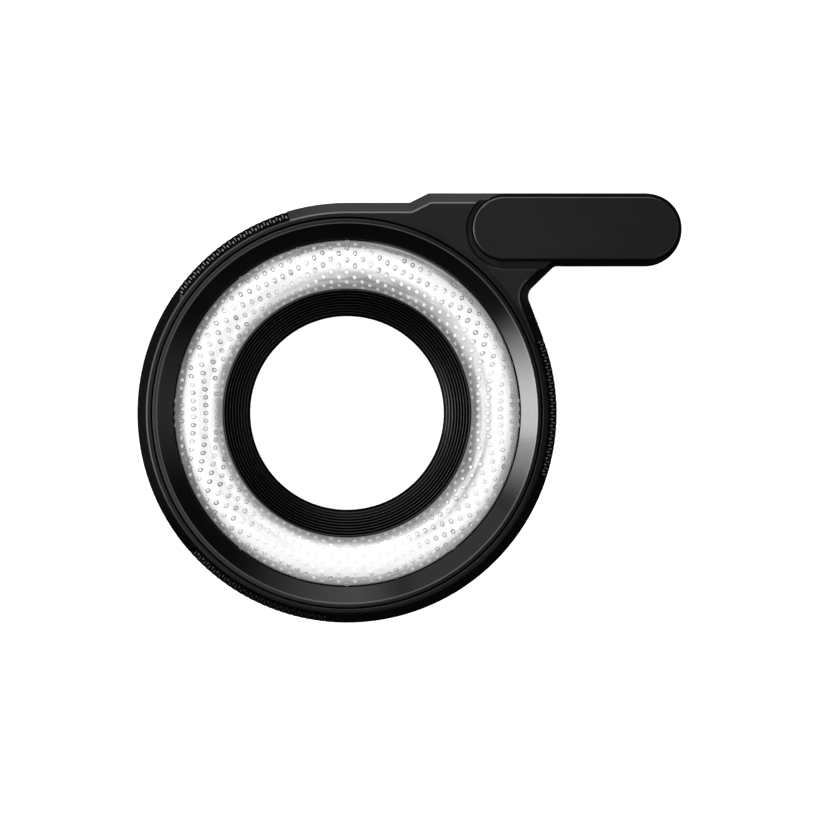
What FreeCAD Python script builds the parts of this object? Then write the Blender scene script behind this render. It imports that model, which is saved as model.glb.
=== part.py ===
import FreeCAD, Part
import math
import os
import Sketcher

# LED light guide: a clear ring round a camera's lens, fed with light through an arm from the camera's LED.
# Millimetres. +Z is the way the lens looks, z = 0 is the back of the bayonet plate, the arm goes to +X, +Y.

driving = {
    # heights, from the back to the front
    "plate_thick": 1.6,         # bayonet plate
    "plate_gap": 0.2,           # between the bayonet plate and the retainer
    "retainer_thick": 1.1,
    "end_play": 0.1,            # of the lock ring's flange over the retainer
    "flange_thick": 1.65,
    "washer_gap": 0.05,
    "washer_thick": 0.55,
    "ring_gap": 0.15,           # between the lock ring and the shell
    "cover_thick": 1.0,
    "seat_gap": 0.05,           # between pieces that rest on each other
    "tray_thick": 0.4,          # white reflector ring
    "guide_foot": 0.5,          # straight edge below the guide's dome
    "shell_height": 6.2,
    "draft_height": 1.2,
    "recess_deep": 0.45,
    "pad_high": 0.75,
    # the ring's widths, from the hole outwards
    "throat_radius": 12.2,
    "throat_step": 0.155,
    "rib_pitch": 0.355,
    "guide_gap": 0.15,
    "guide_width": 5.95,
    "bezel_gap": 0.3,
    "cone_width": 2.1,
    "bezel_flange": 0.5,
    "groove_gap": 0.1,          # parting groove between the bezel and the shell
    "rim_wall": 0.65,
    "draft_width": 1.2,
    # bezel
    "cone_height": 1.7,
    "bezel_wall": 0.5,
    "ledge_width": 0.65,
    "ledge_thick": 0.6,
    "flange_thick_bezel": 1.4,
    # baffle
    "baffle_height": 3.9,
    "baffle_lip": 1.75,
    "baffle_fit": 0.05,
    "rib_crest": 0.17,
    "rib_deep": 0.3,
    "throat_height": 0.75,
    # lock ring, hub and bayonet, from the outside inwards
    "back_lip": 0.5,
    "ring_step": 1.9,           # from the plate's seat in to the room for the retainer
    "retainer_clear": 0.1,
    "retainer_reach": 1.7,      # how far the retainer stands out of the hub
    "hub_wall": 2.8,
    "run_gap": 0.05,
    "pilot_length": 1.9,
    "seal_relief": 0.3,
    "lug_clear": 0.2,
    "lug_deep": 0.8,
    "lug_angle": 44.0,
    "lug_turn": 62.0,           # centre of the first lug
    "edge_break": 0.2,
    "grip_slope_width": 1.1,
    "grip_slope_height": 1.55,
    "retainer_lip": 1.05,       # the retainer's inner edge, out from the pilot bore
    "washer_play": 0.15,
    "washer_wide": 1.9,
    "washer_side": 0.1,
    "zone_turn": 2.8,           # centre of the first knurled stretch
    "tooth_pitch": 1.83,        # degrees
    "tooth_gap": 0.44,
    "tooth_deep": 0.42,
    "knurl_low": 0.8,
    "travel": 30.0,             # the lock ring's turn, degrees
    "key_turn": 200.0,
    "key_wide": 1.2,
    "key_reach": 0.5,
    "key_root": 1.2,
    "key_thick": 1.2,
    "key_clear": 0.1,
    "detent_turn": 270.0,
    "notch_radius": 0.4,
    "leaf_thick": 0.15,
    "leaf_half": 3.4,
    "leaf_nose": 0.45,
    "leaf_rise": 0.35,
    "leaf_sink": 0.75,          # depth of its pocket in the hub
    "leaf_wide": 1.2,
    "leaf_end_room": 0.5,
    "leaf_tip": 0.25,           # thickness of its nose, along a radius
    # felt ring
    "seal_wide": 2.1,
    "seal_clear": 0.1,
    # arm and hood, in plan
    "skirt_turn": 106.5,        # end of the shell's skirt
    "merge_turn": 21.0,         # where the arm's lower side leaves the ring
    "ramp_start": 7.9,
    "ramp_run": 2.4,
    "notch_run": 5.95,          # straight side between the ring and the notch
    "notch_fillet": 1.5,
    "elbow_out": -0.35,           # past the ring's side
    "elbow_fillet": 0.9,
    "hood_out": 11.1,           # past the ring's side
    "hood_drop": 3.4,           # below the ring's top
    "hood_radius": 4.6,
    "arm_wall": 0.9,
    "roof_thick": 1.1,
    "recess_run": 17.7,
    "recess_over": 0.26,        # wider than the hood
    "pad_back": 0.05,
    "pad_fore": 0.26,
    "pad_lift": 0.2,            # its centre line above the hood's
    "pad_moat": 0.93,
    "pad_flare": 0.41,          # how far the hood's steep wall spreads below the pad
    "pad_round": 0.22,
    "top_break": 0.12,          # small bevel along the shell's top edges
    # light pipe
    "pipe_thick": 1.6,
    "pipe_sink": 1.5,           # how far it runs into the ring
    "pipe_half": 1.85,
    "head_side": 0.2,
    "pipe_bend_back": 1.6,
    "pipe_top_turn": 82.0,
    "pipe_low_turn": 50.0,
    "head_back": 4.3,
    "facet_run": 4.2,
    "window_back": 1.8,
    "window_half": 2.4,
    "pipe_side": 0.3,
    "window_low_turn": 38.0,    # gap in the ring wall for the pipe
    "window_high_turn": 80.0,
    "window_lean": 12.0,
    "window_reach": 1.5,
    "wedge_wall": 0.45,
    "wedge_gap": 0.1,
    # hood base
    "base_run": 10.6,
    "base_deep": 3.3,
    "base_floor": 0.9,
    "tunnel_wall": 0.75,
    "lens_thick": 0.95,
    "lens_side": 0.6,           # how far it lies over the tunnel's wall
    "gasket_thick": 0.7,
    "gasket_wall": 0.9,
    "gasket_inset": 0.25,
    "gasket_round": 0.8,
    "tongue_lap": 1.5,
    "base_break": 0.3,
    "wall_gap": 0.08,
    # fasteners
    "screw_radius": 0.4,
    "screw_head": 0.75,
    "head_high": 0.45,
    "cross_long": 0.9,
    "cross_wide": 0.2,
    "cross_deep": 0.25,
    "hole_gap": 0.05,
    "plate_screw_edge": 1.15,
    "bayonet_head_sink": 0.1,
    "bayonet_screw_long": 3.0,
    "retainer_screw_edge": 0.8,
    "retainer_screw_long": 2.6,
    "retainer_screw_turn": 90.0,
    "cover_screw_in": 1.15,
    "cover_screw_turn": 15.0,
    "cover_screw_long": 2.6,
    "boss_radius": 0.85,
    "near_screw_in": 2.6,
    "hood_screw_side": 2.8,
    "far_screw_out": 2.7,
    "hood_screw_long": 4.5,
    "hood_boss": 0.85,
}

ribs = 9
teeth = 24
zones = 3
lugs = 3
cover_screw_count = 4
retainer_screw_count = 3

radian = math.degrees(1)
near = 0.001                    # two lengths this close are the same
overshoot = 1.0                 # how far a cutting shape stands out of its piece

doc = FreeCAD.newDocument("led_light_guide")
sheet = doc.addObject("Spreadsheet::Sheet", "Sizes")


class Size:
    """A length or angle: its number now, and the expression that gives it from the sheet."""

    def __init__(self, number, text):
        self.number = number
        self.text = text

    def __add__(self, other):
        other = sized(other)
        return Size(self.number + other.number, f"({self.text} + {other.text})")

    def __sub__(self, other):
        other = sized(other)
        return Size(self.number - other.number, f"({self.text} - {other.text})")

    def __mul__(self, other):
        other = sized(other)
        return Size(self.number * other.number, f"({self.text} * {other.text})")

    def __truediv__(self, other):
        other = sized(other)
        return Size(self.number / other.number, f"({self.text} / {other.text})")

    def __rsub__(self, other):
        return sized(other) - self

    def __neg__(self):
        return Size(-self.number, f"(0 - {self.text})")


def sized(value):
    return value if isinstance(value, Size) else Size(value, repr(value))


def cosine(turn):
    return Size(math.cos(math.radians(turn.number)), f"cos({turn.text})")


def sine(turn):
    return Size(math.sin(math.radians(turn.number)), f"sin({turn.text})")


def root(value):
    return Size(math.sqrt(value.number), f"sqrt({value.text})")


class Named:
    """The driving sizes by name, as attributes."""


s = Named()
for row, (name, value) in enumerate(driving.items(), start=1):
    sheet.set(f"A{row}", name)
    sheet.set(f"B{row}", str(value))
    sheet.setAlias(f"B{row}", name)
    setattr(s, name, Size(value, f"Sizes.{name}"))
doc.recompute()

zero = Size(0.0, "0")

# heights
retainer_low = s.plate_thick + s.plate_gap
hub_low = retainer_low + s.retainer_thick
flange_low = hub_low + s.end_play
flange_high = flange_low + s.flange_thick
washer_low = flange_high + s.washer_gap
cover_low = washer_low + s.washer_thick + s.washer_gap
ring_high = cover_low - s.ring_gap
cover_high = cover_low + s.cover_thick
tray_low = cover_high + s.seat_gap
guide_low = tray_low + s.tray_thick + s.seat_gap
dome_low = guide_low + s.guide_foot
shell_high = cover_low + s.shell_height
draft_low = shell_high - s.draft_height
recess_floor = shell_high - s.recess_deep
roof_low = recess_floor - s.roof_thick
pipe_high = guide_low + s.pipe_thick
base_low = cover_low - s.base_deep
tunnel_high = guide_low - s.lens_thick - s.seat_gap * 2
cone_low = shell_high - s.cone_height
bezel_low = cone_low - s.bezel_wall
pilot_high = hub_low + s.pilot_length

# radii
baffle_radius = s.throat_radius + s.throat_step + s.rib_pitch * ribs
cover_inner = s.throat_radius + s.baffle_lip + s.baffle_fit
guide_inner = baffle_radius + s.guide_gap
guide_outer = guide_inner + s.guide_width
cone_inner = guide_outer + s.bezel_gap
cone_outer = cone_inner + s.cone_width
bezel_outer = cone_outer + s.bezel_flange
shell_bore = bezel_outer + s.groove_gap
rim_radius = shell_bore + s.rim_wall
grip_radius = rim_radius + s.draft_width
ledge_inner = shell_bore - s.ledge_width
plate_seat = grip_radius - s.back_lip
plate_radius = plate_seat - s.run_gap
retainer_room = plate_seat - s.ring_step
retainer_radius = retainer_room - s.retainer_clear
hub_radius = retainer_radius - s.retainer_reach
pilot_radius = hub_radius - s.hub_wall
lug_radius = pilot_radius + s.lug_clear
plate_inner = lug_radius + s.lug_deep
retainer_inner = pilot_radius + s.retainer_lip
ring_bore = hub_radius + s.run_gap
washer_inner = hub_radius + s.washer_play
washer_radius = washer_inner + s.washer_wide
washer_room = washer_radius + s.washer_side
seal_seat = pilot_radius + s.seal_relief

# places in plan
hood_x = grip_radius + s.hood_out
hood_y = grip_radius - s.hood_drop
hood_top = hood_y + s.hood_radius
hood_bottom = hood_y - s.hood_radius
elbow_x = grip_radius + s.elbow_out
recess_x = hood_x - s.recess_run
recess_radius = s.hood_radius + s.recess_over
window_x = hood_x - s.window_back
head_start = window_x - s.head_back
head_end = window_x + s.window_half
head_half = s.window_half + s.head_side
base_start = hood_x - s.base_run
hole_radius = s.screw_radius + s.hole_gap
head_hole_radius = s.screw_head + s.hole_gap


def polar(radius, turn):
    return radius * cosine(turn), radius * sine(turn)


def at_turn(radius, side, turn):
    """A point at a radius and a distance to its left, both turned about the ring's centre."""
    return (
        radius * cosine(turn) - side * sine(turn),
        radius * sine(turn) + side * cosine(turn),
    )


def block_at_turn(inner, outer, half, turn):
    return [
        at_turn(inner, -half, turn),
        at_turn(outer, -half, turn),
        at_turn(outer, half, turn),
        at_turn(inner, half, turn),
    ]


def new_body(label):
    body = doc.addObject("PartDesign::Body", label)
    body.Label = label
    body.AllowCompound = True
    return body


def origin_part(body, role):
    return [item for item in body.Origin.OriginFeatures if item.Role == role][0]


def new_sketch(body, name, role, height=None, turn=None):
    """A sketch on one of the body's own planes, raised by height, or turned about Z by turn."""
    sketch = body.newObject("Sketcher::SketchObject", name)
    sketch.AttachmentSupport = [(origin_part(body, role), "")]
    sketch.MapMode = "FlatFace"
    if height is not None:
        sketch.AttachmentOffset.Base.z = height.number
        sketch.setExpression("AttachmentOffset.Base.z", height.text)
    if turn is not None:
        sketch.AttachmentOffset = FreeCAD.Placement(
            FreeCAD.Vector(), FreeCAD.Rotation(FreeCAD.Vector(0, 1, 0), turn.number)
        )
        sketch.setExpression("AttachmentOffset.Rotation.Angle", turn.text)
    return sketch


def bind(sketch, rules):
    """Adds constraints, each with the size that drives it."""
    first = sketch.ConstraintCount
    sketch.addConstraint([rule for rule, _ in rules])
    for index, (_, size) in enumerate(rules, start=first):
        if size is not None:
            sketch.setExpression(f"Constraints[{index}]", size.text)


def draw(sketch, corners):
    """A closed outline, anticlockwise. A corner is (x, y) or (x, y, centre) where an arc starts at it."""
    first = sketch.GeometryCount
    count = len(corners)
    points = [FreeCAD.Vector(corner[0].number, corner[1].number, 0) for corner in corners]
    rules = []
    for index, corner in enumerate(corners):
        start = points[index]
        end = points[(index + 1) % count]
        if len(corner) == 3:
            centre = FreeCAD.Vector(corner[2][0].number, corner[2][1].number, 0)
            circle = Part.Circle(centre, FreeCAD.Vector(0, 0, 1), (start - centre).Length)
            low = math.atan2(start.y - centre.y, start.x - centre.x)
            high = math.atan2(end.y - centre.y, end.x - centre.x)
            if high <= low:
                high += 2 * math.pi
            sketch.addGeometry(Part.ArcOfCircle(circle, low, high))
        else:
            sketch.addGeometry(Part.LineSegment(start, end))
    for index, corner in enumerate(corners):
        this = first + index
        before = first + (index - 1) % count
        rules.append((Sketcher.Constraint("Coincident", before, 2, this, 1), None))
        rules.append((Sketcher.Constraint("DistanceX", this, 1, corner[0].number), corner[0]))
        rules.append((Sketcher.Constraint("DistanceY", this, 1, corner[1].number), corner[1]))
        if len(corner) == 3:
            chord = points[(index + 1) % count] - points[index]
            if abs(chord.y) > abs(chord.x):
                rules.append((Sketcher.Constraint("DistanceX", this, 3, corner[2][0].number), corner[2][0]))
            else:
                rules.append((Sketcher.Constraint("DistanceY", this, 3, corner[2][1].number), corner[2][1]))
    bind(sketch, rules)
    return sketch


def round_corner(sketch, line, radius):
    """Rounds the corner at which a line of a sketch starts."""
    arc = sketch.GeometryCount
    sketch.fillet(line, 1, radius.number, True, True)
    bind(sketch, [(Sketcher.Constraint("Radius", arc, radius.number), radius)])


def draw_circles(sketch, centres, radius):
    for x, y in centres:
        index = sketch.GeometryCount
        centre = FreeCAD.Vector(x.number, y.number, 0)
        sketch.addGeometry(Part.Circle(centre, FreeCAD.Vector(0, 0, 1), radius.number))
        bind(sketch, [
            (Sketcher.Constraint("DistanceX", index, 3, x.number), x),
            (Sketcher.Constraint("DistanceY", index, 3, y.number), y),
            (Sketcher.Constraint("Radius", index, radius.number), radius),
        ])
    return sketch


def rectangle(x_low, y_low, x_high, y_high):
    return [(x_low, y_low), (x_high, y_low), (x_high, y_high), (x_low, y_high)]


def stadium(x_low, x_high, y, radius):
    return [
        (x_low, y - radius),
        (x_high, y - radius, (x_high, y)),
        (x_high, y + radius),
        (x_low, y + radius, (x_low, y)),
    ]


def inset(corners, distance):
    """The outline moved inwards by distance, but for the sides that meet at its first corner.

    Its arcs are tangent to the lines beside them.
    """
    count = len(corners)
    normals = []
    moves = []
    for index, corner in enumerate(corners):
        ahead = corners[(index + 1) % count]
        along_x = ahead[0] - corner[0]
        along_y = ahead[1] - corner[1]
        length = root(along_x * along_x + along_y * along_y)
        normals.append(None if len(corner) == 3 else (-along_y / length, along_x / length))
        moves.append(distance if 0 < index < count - 1 else zero)
    moved = [corners[0]]
    for index in range(1, count):
        into = normals[index]
        before = normals[index - 1]
        if into is None or before is None:
            side = into or before
            push = (side[0] * distance, side[1] * distance)
        else:
            alike = into[0] * before[0] + into[1] * before[1]
            spread_out = 1 - alike * alike
            share = (moves[index] - moves[index - 1] * alike) / spread_out
            share_before = (moves[index - 1] - moves[index] * alike) / spread_out
            push = (
                into[0] * share + before[0] * share_before,
                into[1] * share + before[1] * share_before,
            )
        moved.append((corners[index][0] + push[0], corners[index][1] + push[1]) + tuple(corners[index][2:]))
    return moved


def added(body, kind, name, sketch, **sizes):
    """A feature on a sketch, with its sizes bound, that has to leave more or less than before."""
    before = body.Shape.Volume if body.Tip else 0.0
    feature = body.newObject(f"PartDesign::{kind}", name)
    feature.Profile = sketch
    for key, size in sizes.items():
        if isinstance(size, Size):
            setattr(feature, key, size.number)
            feature.setExpression(key, size.text)
        else:
            setattr(feature, key, size)
    if kind in ("Revolution", "Groove"):
        feature.ReferenceAxis = (sketch, ["V_Axis"])
    sketch.Visibility = False
    doc.recompute()
    change = body.Shape.Volume - before
    if kind in ("Pocket", "Groove"):
        change = -change
    if change <= 0:
        raise RuntimeError(f"{body.Label}: {name} changes nothing")
    return feature


def turned(label, corners):
    """A ring-shaped body from its half section, given as (radius, height) corners."""
    body = new_body(label)
    sketch = draw(new_sketch(body, f"{label}_section", "XZ_Plane"), corners)
    added(body, "Revolution", f"{label}_turn", sketch, Angle=sized(360.0))
    return body


def raised(body, name, outlines, low, high):
    sketch = new_sketch(body, f"{name}_outline", "XY_Plane", height=low)
    for outline in outlines:
        draw(sketch, outline)
    return added(body, "Pad", name, sketch, Length=high - low)


def cut_down(body, name, outlines, high, low):
    sketch = new_sketch(body, f"{name}_outline", "XY_Plane", height=high)
    for outline in outlines:
        draw(sketch, outline)
    return added(body, "Pocket", name, sketch, Length=high - low)


def posts(body, name, centres, radius, low, high):
    sketch = draw_circles(new_sketch(body, f"{name}_circles", "XY_Plane", height=low), centres, radius)
    return added(body, "Pad", name, sketch, Length=high - low)


def holes(body, name, centres, radius, high, low):
    sketch = draw_circles(new_sketch(body, f"{name}_circles", "XY_Plane", height=high), centres, radius)
    return added(body, "Pocket", name, sketch, Length=high - low)


def spread(circle, first_turn, count):
    """Places on a circle, evenly spread, the first of them at first_turn."""
    return [polar(circle, first_turn + 360.0 * index / count) for index in range(count)]


def screws(label, centres, low, length):
    """Screws with their heads at the back, heads down to low."""
    body = new_body(label)
    head_high = low + s.head_high
    posts(body, f"{label}_heads", centres, s.screw_head, low, head_high)
    posts(body, f"{label}_shanks", centres, s.screw_radius, head_high, low + length)
    half_long = s.cross_long / 2
    half_wide = s.cross_wide / 2
    for name, half_x, half_y in (("across", half_long, half_wide), ("up", half_wide, half_long)):
        slots = [rectangle(x - half_x, y - half_y, x + half_x, y + half_y) for x, y in centres]
        cut_down(body, f"{label}_slots_{name}", slots, low + s.cross_deep, low)
    return body


def edges_where(feature, wanted):
    return [
        f"Edge{index}" for index, edge in enumerate(feature.Shape.Edges, start=1) if wanted(edge)
    ]


def edges_at(feature, level):
    """The edges of a feature that lie flat at a height."""
    return edges_where(
        feature, lambda edge: all(abs(vertex.Z - level.number) < near for vertex in edge.Vertexes)
    )


def away_from_axis(feature, name):
    """Whether an edge keeps clear of the ring's centre line."""
    ends = feature.Shape.getElement(name).Vertexes
    return all(math.hypot(vertex.X, vertex.Y) > overshoot for vertex in ends)


def round_with(feature, name, *radii):
    """Whether an edge is an arc with one of the radii."""
    curve = feature.Shape.getElement(name).Curve
    return hasattr(curve, "Radius") and any(abs(curve.Radius - radius.number) < near for radius in radii)


def edges_along(feature, names, y):
    """The named edges that run along the line at y."""
    ends = {name: feature.Shape.getElement(name).Vertexes for name in names}
    return [name for name in names if all(abs(vertex.Y - y.number) < near for vertex in ends[name])]


def eased(body, kind, name, feature, names, size):
    """A fillet or chamfer on the named edges of a feature."""
    ease = body.newObject(f"PartDesign::{kind}", name)
    ease.Base = (feature, names)
    key = "Radius" if kind == "Fillet" else "Size"
    setattr(ease, key, size.number)
    ease.setExpression(key, size.text)
    doc.recompute()
    return ease


def finish_pattern(body, pattern):
    """Makes a pattern the body's last feature and checks that it changes the body."""
    before = body.Shape.Volume
    body.Tip = pattern
    doc.recompute()
    if abs(body.Shape.Volume - before) < near:
        raise RuntimeError(f"{body.Label}: {pattern.Name} changes nothing")


def lens_baffle():
    """The black cone round the hole, with ribs that stop stray light."""
    foot_high = cover_high + s.seat_gap
    crest = foot_high + s.throat_height - s.rib_deep
    rise = (foot_high + s.baffle_height - crest) / ribs
    corners = [
        (s.throat_radius, cover_low),
        (s.throat_radius + s.baffle_lip, cover_low),
        (s.throat_radius + s.baffle_lip, foot_high),
        (baffle_radius, foot_high),
        (baffle_radius, foot_high + s.baffle_height),
    ]
    for index in range(ribs - 1, -1, -1):
        inner = baffle_radius - s.rib_crest - s.rib_pitch * (ribs - 1 - index)
        level = crest + rise * (index + 1)
        corners.append((inner, level))
        corners.append((inner, level - rise - s.rib_deep))
        corners.append((inner - s.rib_pitch + s.rib_crest, level - rise - s.rib_deep))
        corners.append((inner - s.rib_pitch + s.rib_crest, level - rise))
    corners.append((s.throat_radius, crest))
    return turned("lens_baffle", corners)


def bezel_ring():
    """The glossy cone, its flange over the shell's ledge, and four screw bosses behind it."""
    flange_low_face = shell_high - s.flange_thick_bezel
    body = turned("bezel_ring", [
        (cone_inner, bezel_low),
        (cone_inner + s.bezel_wall, bezel_low),
        (ledge_inner - s.groove_gap, flange_low_face),
        (bezel_outer, flange_low_face),
        (bezel_outer, shell_high - s.top_break),
        (bezel_outer - s.top_break, shell_high),
        (cone_outer + s.top_break / 2, shell_high),
        (cone_outer, shell_high - s.top_break / 2),
        (cone_inner, cone_low),
    ])
    posts(body, "bezel_bosses", cover_places, s.boss_radius, cover_high + s.seat_gap, cone_low)
    pilot_top = cover_low + s.cover_screw_long + s.hole_gap
    holes(body, "bezel_pilots", cover_places, hole_radius, pilot_top, cover_low)
    return body


def light_guide():
    """The clear ring with its domed front, and the light pipe that feeds it from the hood."""
    centre = guide_inner + s.guide_width / 2
    body = turned("light_guide", [
        (guide_inner, guide_low),
        (guide_outer, guide_low),
        (guide_outer, dome_low, (centre, dome_low)),
        (guide_inner, dome_low),
    ])
    inner = guide_outer - s.pipe_sink
    bend = elbow_x - s.pipe_bend_back
    raised(body, "light_pipe", [[
        polar(inner, s.pipe_low_turn),
        polar(guide_outer, s.pipe_low_turn),
        (bend, hood_y - s.pipe_half),
        (head_start, hood_y - s.pipe_half),
        (head_start, hood_y + s.pipe_half),
        (bend, hood_y + s.pipe_half),
        polar(guide_outer, s.pipe_top_turn),
        polar(inner, s.pipe_top_turn),
    ]], guide_low, pipe_high)
    head = draw(new_sketch(body, "pipe_head_outline", "XZ_Plane", height=-(hood_y + head_half)), [
        (head_start, guide_low),
        (head_end, guide_low),
        (head_end - s.facet_run, roof_low - s.seat_gap),
        (head_start, roof_low - s.seat_gap),
    ])
    added(body, "Pad", "pipe_head", head, Length=head_half * 2)
    return body


def pipe_reflector():
    """The white wedge that lies on the light pipe's sloped end."""
    body = new_body("pipe_reflector")
    foot = head_end + s.wedge_gap
    outline = draw(new_sketch(body, "wedge_outline", "XZ_Plane", height=-(hood_y + head_half)), [
        (foot, guide_low),
        (foot + s.wedge_wall, guide_low),
        (foot + s.wedge_wall, roof_low - s.seat_gap),
        (foot - s.facet_run, roof_low - s.seat_gap),
    ])
    added(body, "Pad", "wedge", outline, Length=head_half * 2)
    return body


def arm_outline(far_side):
    """The arm in plan, from the ring's centre round far_side, the corners of its far end, and back."""
    near = [
        (zero, zero),
        polar(grip_radius, s.merge_turn),
        at_turn(grip_radius, s.notch_run, s.merge_turn),
        (elbow_x, hood_bottom),
    ]
    back = [
        (s.ramp_start + s.ramp_run, hood_top),
        (s.ramp_start, grip_radius),
        (zero, grip_radius),
    ]
    return near + far_side + back


def pipe_window():
    """The gap in the shell's ring wall that the light pipe and the cover's neck pass through."""
    return [
        polar(ledge_inner, s.window_low_turn),
        polar(grip_radius + s.window_reach, s.window_low_turn),
        polar(grip_radius + s.window_reach, s.window_high_turn - s.window_lean),
        polar(ledge_inner, s.window_high_turn),
    ]


def hood_wall(body, name, low, high):
    """The hood's steep wall between two heights, narrowing towards the pad's top."""
    pad_top = recess_floor + s.pad_high
    lean = s.pad_flare / (pad_top - draft_low)
    radius = recess_radius - s.pad_moat + lean * (pad_top - low)
    outline = stadium(recess_x - s.pad_back, hood_x + s.pad_fore, hood_y + s.pad_lift, radius)
    wall = raised(body, name, [outline], low, high)
    wall.TaperAngle = -math.atan(lean.number) * radian
    wall.setExpression("TaperAngle", f"-atan({lean.text})")
    doc.recompute()
    return wall


def front_shell():
    """The black front moulding: rim, skirt, arm, recess and hood."""
    body = new_body("front_shell")
    outer = arm_outline([(hood_x, hood_bottom, (hood_x, hood_y)), (hood_x, hood_top)])
    notch = 2
    elbow = 3
    wall_sketch = draw(new_sketch(body, "arm_wall_outline", "XY_Plane", height=cover_low), outer)
    low_sketch = draw(new_sketch(body, "draft_low_outline", "XY_Plane", height=draft_low), outer)
    high_sketch = draw(
        new_sketch(body, "draft_high_outline", "XY_Plane", height=shell_high), inset(outer, s.draft_width)
    )
    for sketch, widening in ((wall_sketch, zero), (low_sketch, zero), (high_sketch, s.draft_width)):
        round_corner(sketch, notch, s.notch_fillet + widening)
        round_corner(sketch, elbow, s.elbow_fillet + widening)
    added(body, "Pad", "arm_wall_block", wall_sketch, Length=draft_low - cover_low)
    loft = body.newObject("PartDesign::AdditiveLoft", "arm_draft")
    loft.Profile = low_sketch
    loft.Sections = [high_sketch]
    loft.Ruled = True
    doc.recompute()
    outside = [name for name in edges_at(loft, shell_high) if away_from_axis(loft, name)]
    eased(body, "Chamfer", "arm_top_edges", loft, outside, s.top_break)
    hood_wall(body, "hood_end", draft_low, shell_high)
    holes(body, "ring_bore", [(zero, zero)], shell_bore, shell_high, cover_low)
    cut_down(body, "arm_cavity", [inset(outer, s.arm_wall)], roof_low, cover_low)
    slope = root(s.draft_width * s.draft_width + s.draft_height * s.draft_height)
    break_out = s.top_break * s.draft_width / slope
    break_down = s.top_break * s.draft_height / slope
    skirt = draw(new_sketch(body, "skirt_section", "XZ_Plane", turn=s.merge_turn), [
        (shell_bore, cover_low),
        (grip_radius, cover_low),
        (grip_radius, draft_low),
        (rim_radius + break_out, shell_high - break_down),
        (rim_radius - s.top_break, shell_high),
        (shell_bore, shell_high),
    ])
    added(body, "Revolution", "skirt", skirt, Angle=s.skirt_turn - s.merge_turn)
    ledge_high = shell_high - s.flange_thick_bezel - s.seat_gap
    ledge_low = ledge_high - s.ledge_thick
    rim = draw(new_sketch(body, "rim_section", "XZ_Plane"), [
        (shell_bore, cover_low),
        (rim_radius, cover_low),
        (rim_radius, shell_high - s.top_break),
        (rim_radius - s.top_break, shell_high),
        (shell_bore, shell_high),
        (shell_bore, ledge_high),
        (ledge_inner, ledge_high),
        (ledge_inner, ledge_low),
        (shell_bore, ledge_low),
    ])
    added(body, "Revolution", "rim", rim, Angle=sized(360.0))
    cut_down(body, "pipe_window", [pipe_window()], pipe_high + s.pipe_side, cover_low)
    recess = stadium(recess_x, hood_x, hood_y, recess_radius)
    cut_down(body, "recess", [recess], shell_high, recess_floor)
    posts(body, "hood_bosses", hood_places, s.hood_boss, base_low + s.base_floor + s.seat_gap, roof_low)
    pilot_top = base_low + s.hood_screw_long + s.hole_gap
    pilots = holes(body, "hood_pilots", hood_places, hole_radius, pilot_top, base_low)
    top = edges_at(pilots, shell_high)
    side = edges_along(pilots, top, hood_y - recess_radius)
    inner = side + [name for name in top if round_with(pilots, name, recess_radius, shell_bore)]
    eased(body, "Chamfer", "inner_top_edges", pilots, inner, s.top_break)
    return body


def hood_cap():
    """The raised oval pad on the hood, bare."""
    body = new_body("hood_cap")
    pad_top = recess_floor + s.pad_high
    pad = hood_wall(body, "pad", recess_floor + s.seat_gap, pad_top)
    eased(body, "Fillet", "pad_edge", pad, edges_at(pad, pad_top), s.pad_round)
    return body


def screw_holes(body, label, places, low, high, margin):
    """Through holes from high, and a seat for each head, for screws whose heads start at low."""
    holes(body, f"{label}_holes", places, hole_radius, high, low - margin)
    holes(body, f"{label}_seats", places, head_hole_radius, low + s.head_high, low - margin)


def rear_cover():
    """The back plate with the hub that the lock ring turns on, and the tongue that closes the arm."""
    edge = shell_bore - s.wall_gap
    tongue_end = base_start + s.tongue_lap
    body = new_body("rear_cover")
    tongue = arm_outline([(tongue_end, hood_bottom), (tongue_end, hood_top)])
    raised(body, "tongue", [inset(tongue, s.arm_wall + s.wall_gap)], cover_low, cover_high)
    holes(body, "wall_room", [(zero, zero)], grip_radius + s.wall_gap, cover_high, cover_low)
    raised(body, "neck", [inset(pipe_window(), s.wall_gap)], cover_low, cover_high)
    section = draw(new_sketch(body, "rear_cover_section", "XZ_Plane"), [
        (pilot_radius, hub_low),
        (hub_radius, hub_low),
        (hub_radius, cover_low),
        (edge, cover_low),
        (edge, cover_high),
        (cover_inner, cover_high),
        (cover_inner, cover_low),
        (seal_seat, cover_low),
        (seal_seat, pilot_high),
        (pilot_radius, pilot_high),
    ])
    added(body, "Revolution", "hub_and_plate", section, Angle=sized(360.0))
    screw_holes(body, "cover_screw", cover_places, cover_low, cover_high, s.run_gap)
    holes(body, "retainer_pilots", retainer_places, hole_radius,
          retainer_low + s.retainer_screw_long + s.hole_gap, hub_low)
    key_floor = hub_radius - s.key_root - s.run_gap
    key_side = s.key_wide / 2 + s.run_gap
    key_slot = block_at_turn(key_floor, hub_radius + s.run_gap, key_side, s.key_turn)
    cut_down(body, "key_slot", [key_slot], hub_low + s.key_thick + s.seat_gap * 2, hub_low)
    leaf_pocket = block_at_turn(
        hub_radius - s.leaf_sink, hub_radius + s.run_gap, s.leaf_half + s.leaf_end_room, s.detent_turn
    )
    cut_down(body, "leaf_pocket", [leaf_pocket], flange_low + s.leaf_wide + s.seat_gap * 2, hub_low)
    return body


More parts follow.
